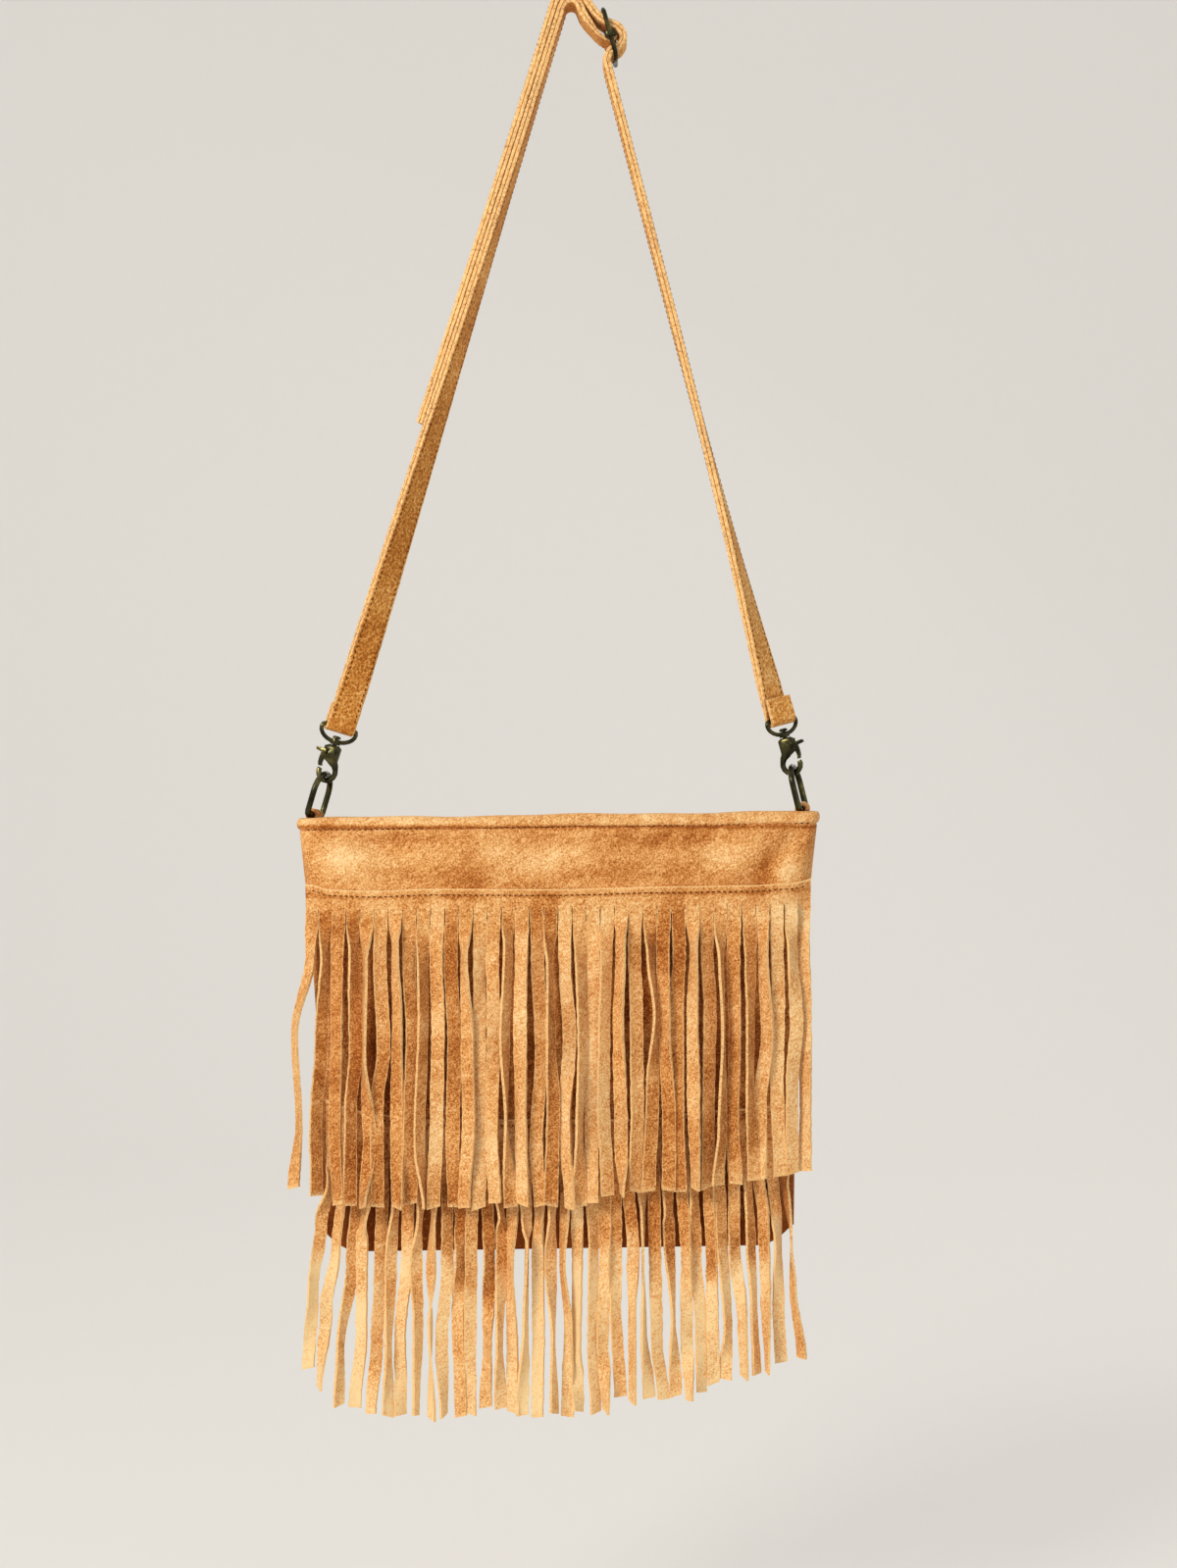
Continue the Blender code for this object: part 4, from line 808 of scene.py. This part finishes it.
# Section of a strap: two layers of suede glued together, with soft corners and a joint along each edge.
# Each corner is its share of the half thickness, its share of the half width, and how raw it is.
STRAP_SECTION = [(1.0, 0.0, 0.0), (1.0, -0.5, 0.0), (1.0, -0.88, 0.0), (0.93, -0.97, 0.7), (0.70, -1.0, 1.0),
                 (0.10, -0.985, 0.8), (0.0, -0.94, -1.0), (-0.10, -0.985, 0.8), (-0.70, -1.0, 1.0),
                 (-0.93, -0.97, 0.7), (-1.0, -0.88, 0.0), (-1.0, -0.5, 0.0), (-1.0, 0.0, 0.0), (-1.0, 0.5, 0.0),
                 (-1.0, 0.88, 0.0), (-0.93, 0.97, 0.7), (-0.70, 1.0, 1.0), (-0.10, 0.985, 0.8), (0.0, 0.94, -1.0),
                 (0.10, 0.985, 0.8), (0.70, 1.0, 1.0), (0.93, 0.97, 0.7), (1.0, 0.88, 0.0), (1.0, 0.5, 0.0)]


def sweep_strap(name, node, stations, seed, pale=0.0):
    """Skin the strap's section through its stations, with a hand-cut unevenness along its edges.

    The joint between its two layers lies back and is dark, and the layers' cut edges are pale.
    """
    rng = random.Random(seed)
    bm = bmesh.new()
    edge = bm.verts.layers.float.new("edge")
    tone = bm.verts.layers.float.new("tone")
    face = None
    for count, (centre, normal, across, thickness) in enumerate(stations):
        wide = STRAP_WIDTH / 2 * rng.uniform(0.975, 1.0)
        thick = thickness / 2 * rng.uniform(0.97, 1.0)
        joint = rng.uniform(0.0, 0.06)
        ring = []
        for n, w, raw in STRAP_SECTION:
            fray = rng.uniform(-0.1, 0.14) * MM
            reach = wide * w
            if raw > 0:
                reach += math.copysign(fray, w)
            elif raw < 0:
                reach -= math.copysign(wide * joint, w)
            ring.append(centre + normal * thick * n + across * reach)
        if face is None:
            face = bm.faces.new([bm.verts.new(place) for place in ring])
        else:
            face = extend_face(bm, face, ring)
        shade = pale + 0.06 * math.sin(count * 0.21 + seed)
        for vertex, (_, _, raw) in zip(face.verts, STRAP_SECTION):
            shadow, patch = rng.uniform(0.0, 0.8), rng.uniform(-0.25, 0.15)
            vertex[edge] = max(raw, 0.0)
            vertex[tone] = shade + shadow * min(raw, 0.0) + patch * (raw > 0)
        if count in (0, len(stations) - 1):
            for vertex in face.verts:
                vertex[edge] = 1.0
    bmesh.ops.holes_fill(bm, edges=[one for one in bm.edges if one.is_boundary])
    bmesh.ops.recalc_face_normals(bm, faces=bm.faces)
    finish_piece(name, bm, STRAP_SUEDE, "strap", [node], 50)


def strap_stitches(name, stations):
    """Stitch lines along both edges and both faces of a strap."""
    places = []
    for side in (-1, 1):
        for face in (-1, 1):
            travelled = STITCH_PITCH
            for (start, n0, w0, t0), (end, n1, w1, t1) in zip(stations, stations[1:]):
                length = (end - start).length
                while travelled < length:
                    share = travelled / length
                    normal = n0.lerp(n1, share)
                    across = w0.lerp(w1, share)
                    thickness = t0 + (t1 - t0) * share
                    centre = start.lerp(end, share) + normal * (thickness / 2 * 0.98) * face
                    centre += across * (STRAP_WIDTH / 2 - STRAP_SEAM_INSET) * side
                    places.append((centre, end - start, normal * face))
                    travelled += STITCH_PITCH
                travelled -= length
    make_stitches(name, places, "strap")


def make_straps():
    """The left strap, which carries the slide, and the right strap, whose long tongue doubles back."""
    head, outward, pull = left_leg()
    inner, across = leg_frame(outward, math.radians(CLIP_TWIST_LEFT))
    start_angle = math.atan2(outward.z, outward.x)
    leg_length = (head - EYE_LEFT).length
    tongue_share = 1 - TONGUE_DROP / (leg_length * pull.z)
    shares = sorted([step / LEG_STEPS for step in range(1, LEG_STEPS + 1)] + [tongue_share])
    leg = leg_stations(EYE_LEFT, head, outward, CLIP_TWIST_LEFT, TWIST_POWER_LEFT, shares)
    left = end_loop(EYE_LEFT, pull, inner, across, EYE_WIRE, END_FLAP) + leg
    left += crest_stations(INNER_RADIUS, start_angle, math.radians(LEFT_CREST_END))
    to_slide = (LEFT_ROUTE[-1] - SLIDE_MIDDLE).normalized()
    slide_inner = Vector((-to_slide.z, 0, to_slide.x))
    radius = SLIDE_BAR + GAP + STRAP_END_THICKNESS / 2
    loop = end_loop(SLIDE_MIDDLE, to_slide, slide_inner, -BACK, SLIDE_BAR, SLIDE_FLAP)
    route = planar_stations(LEFT_ROUTE + [SLIDE_MIDDLE + slide_inner * radius], left[-1][0], STRAP_THICKNESS)
    for centre, normal, width, _ in route[:-1]:
        remaining = (SLIDE_MIDDLE - centre).length
        pared = smooth_step((remaining - 0.004) / 0.012)
        thickness = STRAP_END_THICKNESS + (STRAP_THICKNESS - STRAP_END_THICKNESS) * pared
        left.append((centre, normal, width, thickness))
    left += list(reversed(loop))
    sweep_strap("left_strap", "strap_left", left, 3)
    strap_stitches("left_strap_stitches", leg)

    doubled = [station for station, share in zip(leg, shares) if share >= tongue_share]
    right = [(centre - normal * (STRAP_THICKNESS + TONGUE_GAP), normal, width, thickness)
             for centre, normal, width, thickness in doubled]
    tongue = list(right)
    right += crest_stations(OUTER_RADIUS, start_angle, math.radians(RIGHT_CREST_END))
    right += planar_stations(RIGHT_ROUTE, right[-1][0], STRAP_THICKNESS)
    pull = (RIGHT_ROUTE[-1] - EYE_RIGHT).normalized()
    outward = Vector((pull.z, 0, -pull.x))
    inner, across = leg_frame(outward, math.radians(-CLIP_TWIST_RIGHT))
    shares = [1 - step / LEG_STEPS for step in range(1, LEG_STEPS)]
    leg = leg_stations(EYE_RIGHT, RIGHT_ROUTE[-1], outward, -CLIP_TWIST_RIGHT, TWIST_POWER_RIGHT, shares)
    right += leg
    right += list(reversed(end_loop(EYE_RIGHT, pull, inner, across, EYE_WIRE, END_FLAP)))
    sweep_strap("right_strap", "strap_right", right, 8, 0.16)
    strap_stitches("right_strap_stitches", tongue)
    strap_stitches("right_leg_stitches", leg)


# Zip

def make_zip_teeth(name, node, side):
    """Row of separate teeth: small blocks with broken edges, half a pitch apart on the two tapes."""
    bm = bmesh.new()
    middle = RIM_Z - ZIP_DEPTH - TAPE_THICKNESS / 2
    centre_y = side * (ZIP_POST / 2 + GAP + TOOTH_WIDTH / 2)
    x = ZIP_LEFT + (TOOTH_PITCH / 2 if side > 0 else 0.0)
    while x < ZIP_RIGHT:
        rise = RIM_RISE * (x - BAG_CENTRE_X) / half_width(0)
        place = Matrix.Translation((x, centre_y, middle + rise))
        size = Matrix.Diagonal((TOOTH_PITCH * TOOTH_SHARE, TOOTH_WIDTH, TOOTH_HEIGHT, 1.0))
        bmesh.ops.create_cube(bm, size=1.0, matrix=place @ size)
        x += TOOTH_PITCH
    bmesh.ops.bevel(bm, geom=bm.edges[:], offset=TOOTH_BEVEL, affect="EDGES", segments=1, profile=0.5,
                    material=-1)
    finish_piece(name, bm, ANTIQUE_BRASS, "bag", [node], 30)


def soften_node(node, name, material, body):
    """Stand-in for a soft CAD solid, with its edges rounded and its faces shaded as one."""
    piece = finish_piece(name, node_bmesh(node), material, body, [node], 80)
    modifier = piece.modifiers.new("rounded_edges", "BEVEL")
    modifier.width = 0.0004
    modifier.segments = 2
    modifier.limit_method = "ANGLE"
    apply_modifiers(piece, 80)


# The finished pieces

make_wall("front_wall", "front_panel", -1)
make_wall("back_wall", "back_panel", 1)
make_hem_stitches("front_hem_stitches", -1)
make_hem_stitches("back_hem_stitches", 1)
make_fringe("upper_fringe_strips", "fringe_upper", UPPER_TOP, UPPER_LENGTH, UPPER_WIDTH, UPPER_STRIPS,
            start=0.03, stack=UPPER_STACK, edge_line=UPPER_EDGE, curl=30, wave=1.9, early=3.0, pale_foot=0.0,
            seed=11)
make_fringe("lower_fringe_strips", "fringe_lower", LOWER_TOP, LOWER_LENGTH, LOWER_WIDTH, LOWER_STRIPS,
            start=0.12, stack=0.0, edge_line=LOWER_EDGE, curl=55, wave=1.7, early=1.0, pale_foot=0.50,
            seed=23)
make_straps()
soften_node("lining", "pocket_lining", LINING_CLOTH, "bag")
for word in ("left", "right"):
    hook, trigger = "hook_" + word, "trigger_" + word
    soften_node("ring_tab_" + word, word + "_ring_tab", TAN_SUEDE, "bag")
    refine_node("d_ring_" + word, word + "_ring", ANTIQUE_BRASS, "bag")
    refine_node("clasp_eye_" + word, word + "_clasp_eye", ANTIQUE_BRASS, "strap", bevel=0.00015)
    refine_node("clasp_hook_" + word, word + "_clasp_hook", ANTIQUE_BRASS, hook, bevel=0.00015)
    refine_node("trigger_pin_" + word, word + "_clasp_pin", ANTIQUE_BRASS, hook, bevel=0.00010)
    refine_node("clasp_trigger_" + word, word + "_clasp_trigger", ANTIQUE_BRASS, trigger, bevel=0.00030, sharp=30)
    refine_node("zip_stop_" + word, word + "_zip_stop", ANTIQUE_BRASS, "bag", bevel=0.00025)
refine_node("strap_slide", "three_bar_slide", ANTIQUE_BRASS, "strap", bevel=0.00015)
refine_node("zip_slider", "zip_slider_body", ANTIQUE_BRASS, "slider", bevel=0.00020)
refine_node("zip_puller", "zip_puller_plate", ANTIQUE_BRASS, "puller", bevel=0.00025)
for word, side in (("front", -1), ("back", 1)):
    refine_node("zip_tape_" + word, word + "_zip_tape", ZIP_TAPE, "bag", bevel=0.00010)
    make_zip_teeth(word + "_zip_teeth", "zip_teeth_" + word, side)


# Studio

PAPER = "#F4F2EE"
FLOOR_Z = -0.86
FLOOR_FRONT = -4.0
SWEEP_START = 1.6
SWEEP_RADIUS = 0.8
WALL_RISE = 2.6
HALF_BREADTH = 4.0
FLOOR_ROWS, SWEEP_ROWS, WALL_ROWS = 8, 12, 4
PLAIN_SHARE = 0.55
WORLD_SEEN = 0.98
WORLD_FILL = 0.52
BAG_MIDDLE = (0.0, 0.0, -0.42)


def seen_share(tree):
    """1 where the surroundings are seen by the camera or in metal and glass, 0 where they light the object."""
    path = add_node(tree, "ShaderNodeLightPath")
    seen = add_node(tree, "ShaderNodeMath", {0: path.outputs["Is Camera Ray"], 1: path.outputs["Is Glossy Ray"]},
                    operation="MAXIMUM")
    seen = add_node(tree, "ShaderNodeMath", {0: seen.outputs["Value"], 1: path.outputs["Is Transmission Ray"]},
                    operation="MAXIMUM")
    return seen.outputs["Value"]


def make_backdrop():
    """Pale floor that sweeps up into a backdrop far behind the bag."""
    material, tree, shader = new_material("pale_studio_paper")
    shader.inputs["Base Color"].default_value = colour(PAPER)
    shader.inputs["Roughness"].default_value = 0.95
    # About half of what is seen of the paper is its plain colour, so that it stays even beyond the lamps' reach
    half = add_node(tree, "ShaderNodeMath", {0: seen_share(tree), 1: PLAIN_SHARE}, operation="MULTIPLY")
    plain = add_node(tree, "ShaderNodeEmission", {"Color": colour("#E4E0D9")})
    mixed = add_node(tree, "ShaderNodeMixShader", {0: half.outputs["Value"], 1: shader.outputs["BSDF"],
                                                   2: plain.outputs["Emission"]})
    tree.links.new(mixed.outputs["Shader"], tree.nodes["Material Output"].inputs["Surface"])
    bm = bmesh.new()
    rows = FLOOR_ROWS + SWEEP_ROWS + WALL_ROWS
    bmesh.ops.create_grid(bm, x_segments=1, y_segments=rows, size=1.0)
    for vertex in bm.verts:
        _, row = grid_cell(vertex, 1, rows)
        along = SWEEP_START + (FLOOR_FRONT - SWEEP_START) * max(0.0, 1 - row / FLOOR_ROWS)
        angle = math.pi / 2 * min(max((row - FLOOR_ROWS) / SWEEP_ROWS, 0.0), 1.0)
        rise = WALL_RISE * max(0.0, (row - FLOOR_ROWS - SWEEP_ROWS) / WALL_ROWS)
        vertex.co = Vector((HALF_BREADTH * vertex.co.x, along + SWEEP_RADIUS * math.sin(angle),
                            FLOOR_Z + SWEEP_RADIUS * (1 - math.cos(angle)) + rise))
    mesh = bpy.data.meshes.new("studio_sweep")
    bm.to_mesh(mesh)
    bm.free()
    mesh.shade_smooth()
    mesh.materials.append(material)
    sweep = bpy.data.objects.new("studio_sweep", mesh)
    bpy.context.collection.objects.link(sweep)


def make_lamp(name, place, size, power, tint):
    """Square soft box that faces the bag."""
    lamp = bpy.data.lights.new(name, "AREA")
    lamp.size = size
    lamp.energy = power
    lamp.color = colour(tint)[:3]
    holder = bpy.data.objects.new(name, lamp)
    bpy.context.collection.objects.link(holder)
    holder.location = place
    holder.rotation_euler = (Vector(BAG_MIDDLE) - Vector(place)).to_track_quat("-Z", "Y").to_euler()


def make_world():
    """Even pale surround: plain paper to the camera and in reflections, soft fill on the object."""
    world = bpy.data.worlds.new("studio")
    world.use_nodes = True
    tree = world.node_tree
    strength = add_node(tree, "ShaderNodeMath", {0: seen_share(tree), 1: WORLD_SEEN - WORLD_FILL, 2: WORLD_FILL},
                        operation="MULTIPLY_ADD")
    background = tree.nodes["Background"]
    background.inputs["Color"].default_value = colour(PAPER)
    tree.links.new(strength.outputs["Value"], background.inputs["Strength"])
    bpy.context.scene.world = world


make_backdrop()
make_world()
make_lamp("key_soft_box", (-1.2, -1.4, 0.55), 0.6, 29.0, "#FFF8EE")
make_lamp("fill_soft_box", (1.3, -1.3, -0.2), 1.2, 4.0, "#F2F6FF")
make_lamp("back_soft_box", (0.9, 1.5, 0.9), 1.2, 9.0, "#FFFFFF")

# Camera, level, 1.1 m in front of the front wall, in line with the middle of the strap and bag together; its frame
# is 0.7845 m high at the wall
CAMERA_DISTANCE = 1.1
CAMERA_X = 0.0088
CAMERA_Z = -0.3920
FRONT_WALL_Y = -0.010
FRAME_HEIGHT = 0.7845
SENSOR_HEIGHT = 24.0
camera = bpy.data.cameras.new("camera")
camera.sensor_fit = "VERTICAL"
camera.sensor_height = SENSOR_HEIGHT
camera.lens = SENSOR_HEIGHT * CAMERA_DISTANCE / FRAME_HEIGHT
camera_holder = bpy.data.objects.new("camera", camera)
bpy.context.collection.objects.link(camera_holder)
camera_holder.location = (CAMERA_X, FRONT_WALL_Y - CAMERA_DISTANCE, CAMERA_Z)
camera_holder.rotation_euler = (math.pi / 2, 0.0, 0.0)
bpy.context.scene.camera = camera_holder
bpy.context.scene.view_settings.view_transform = "Standard"
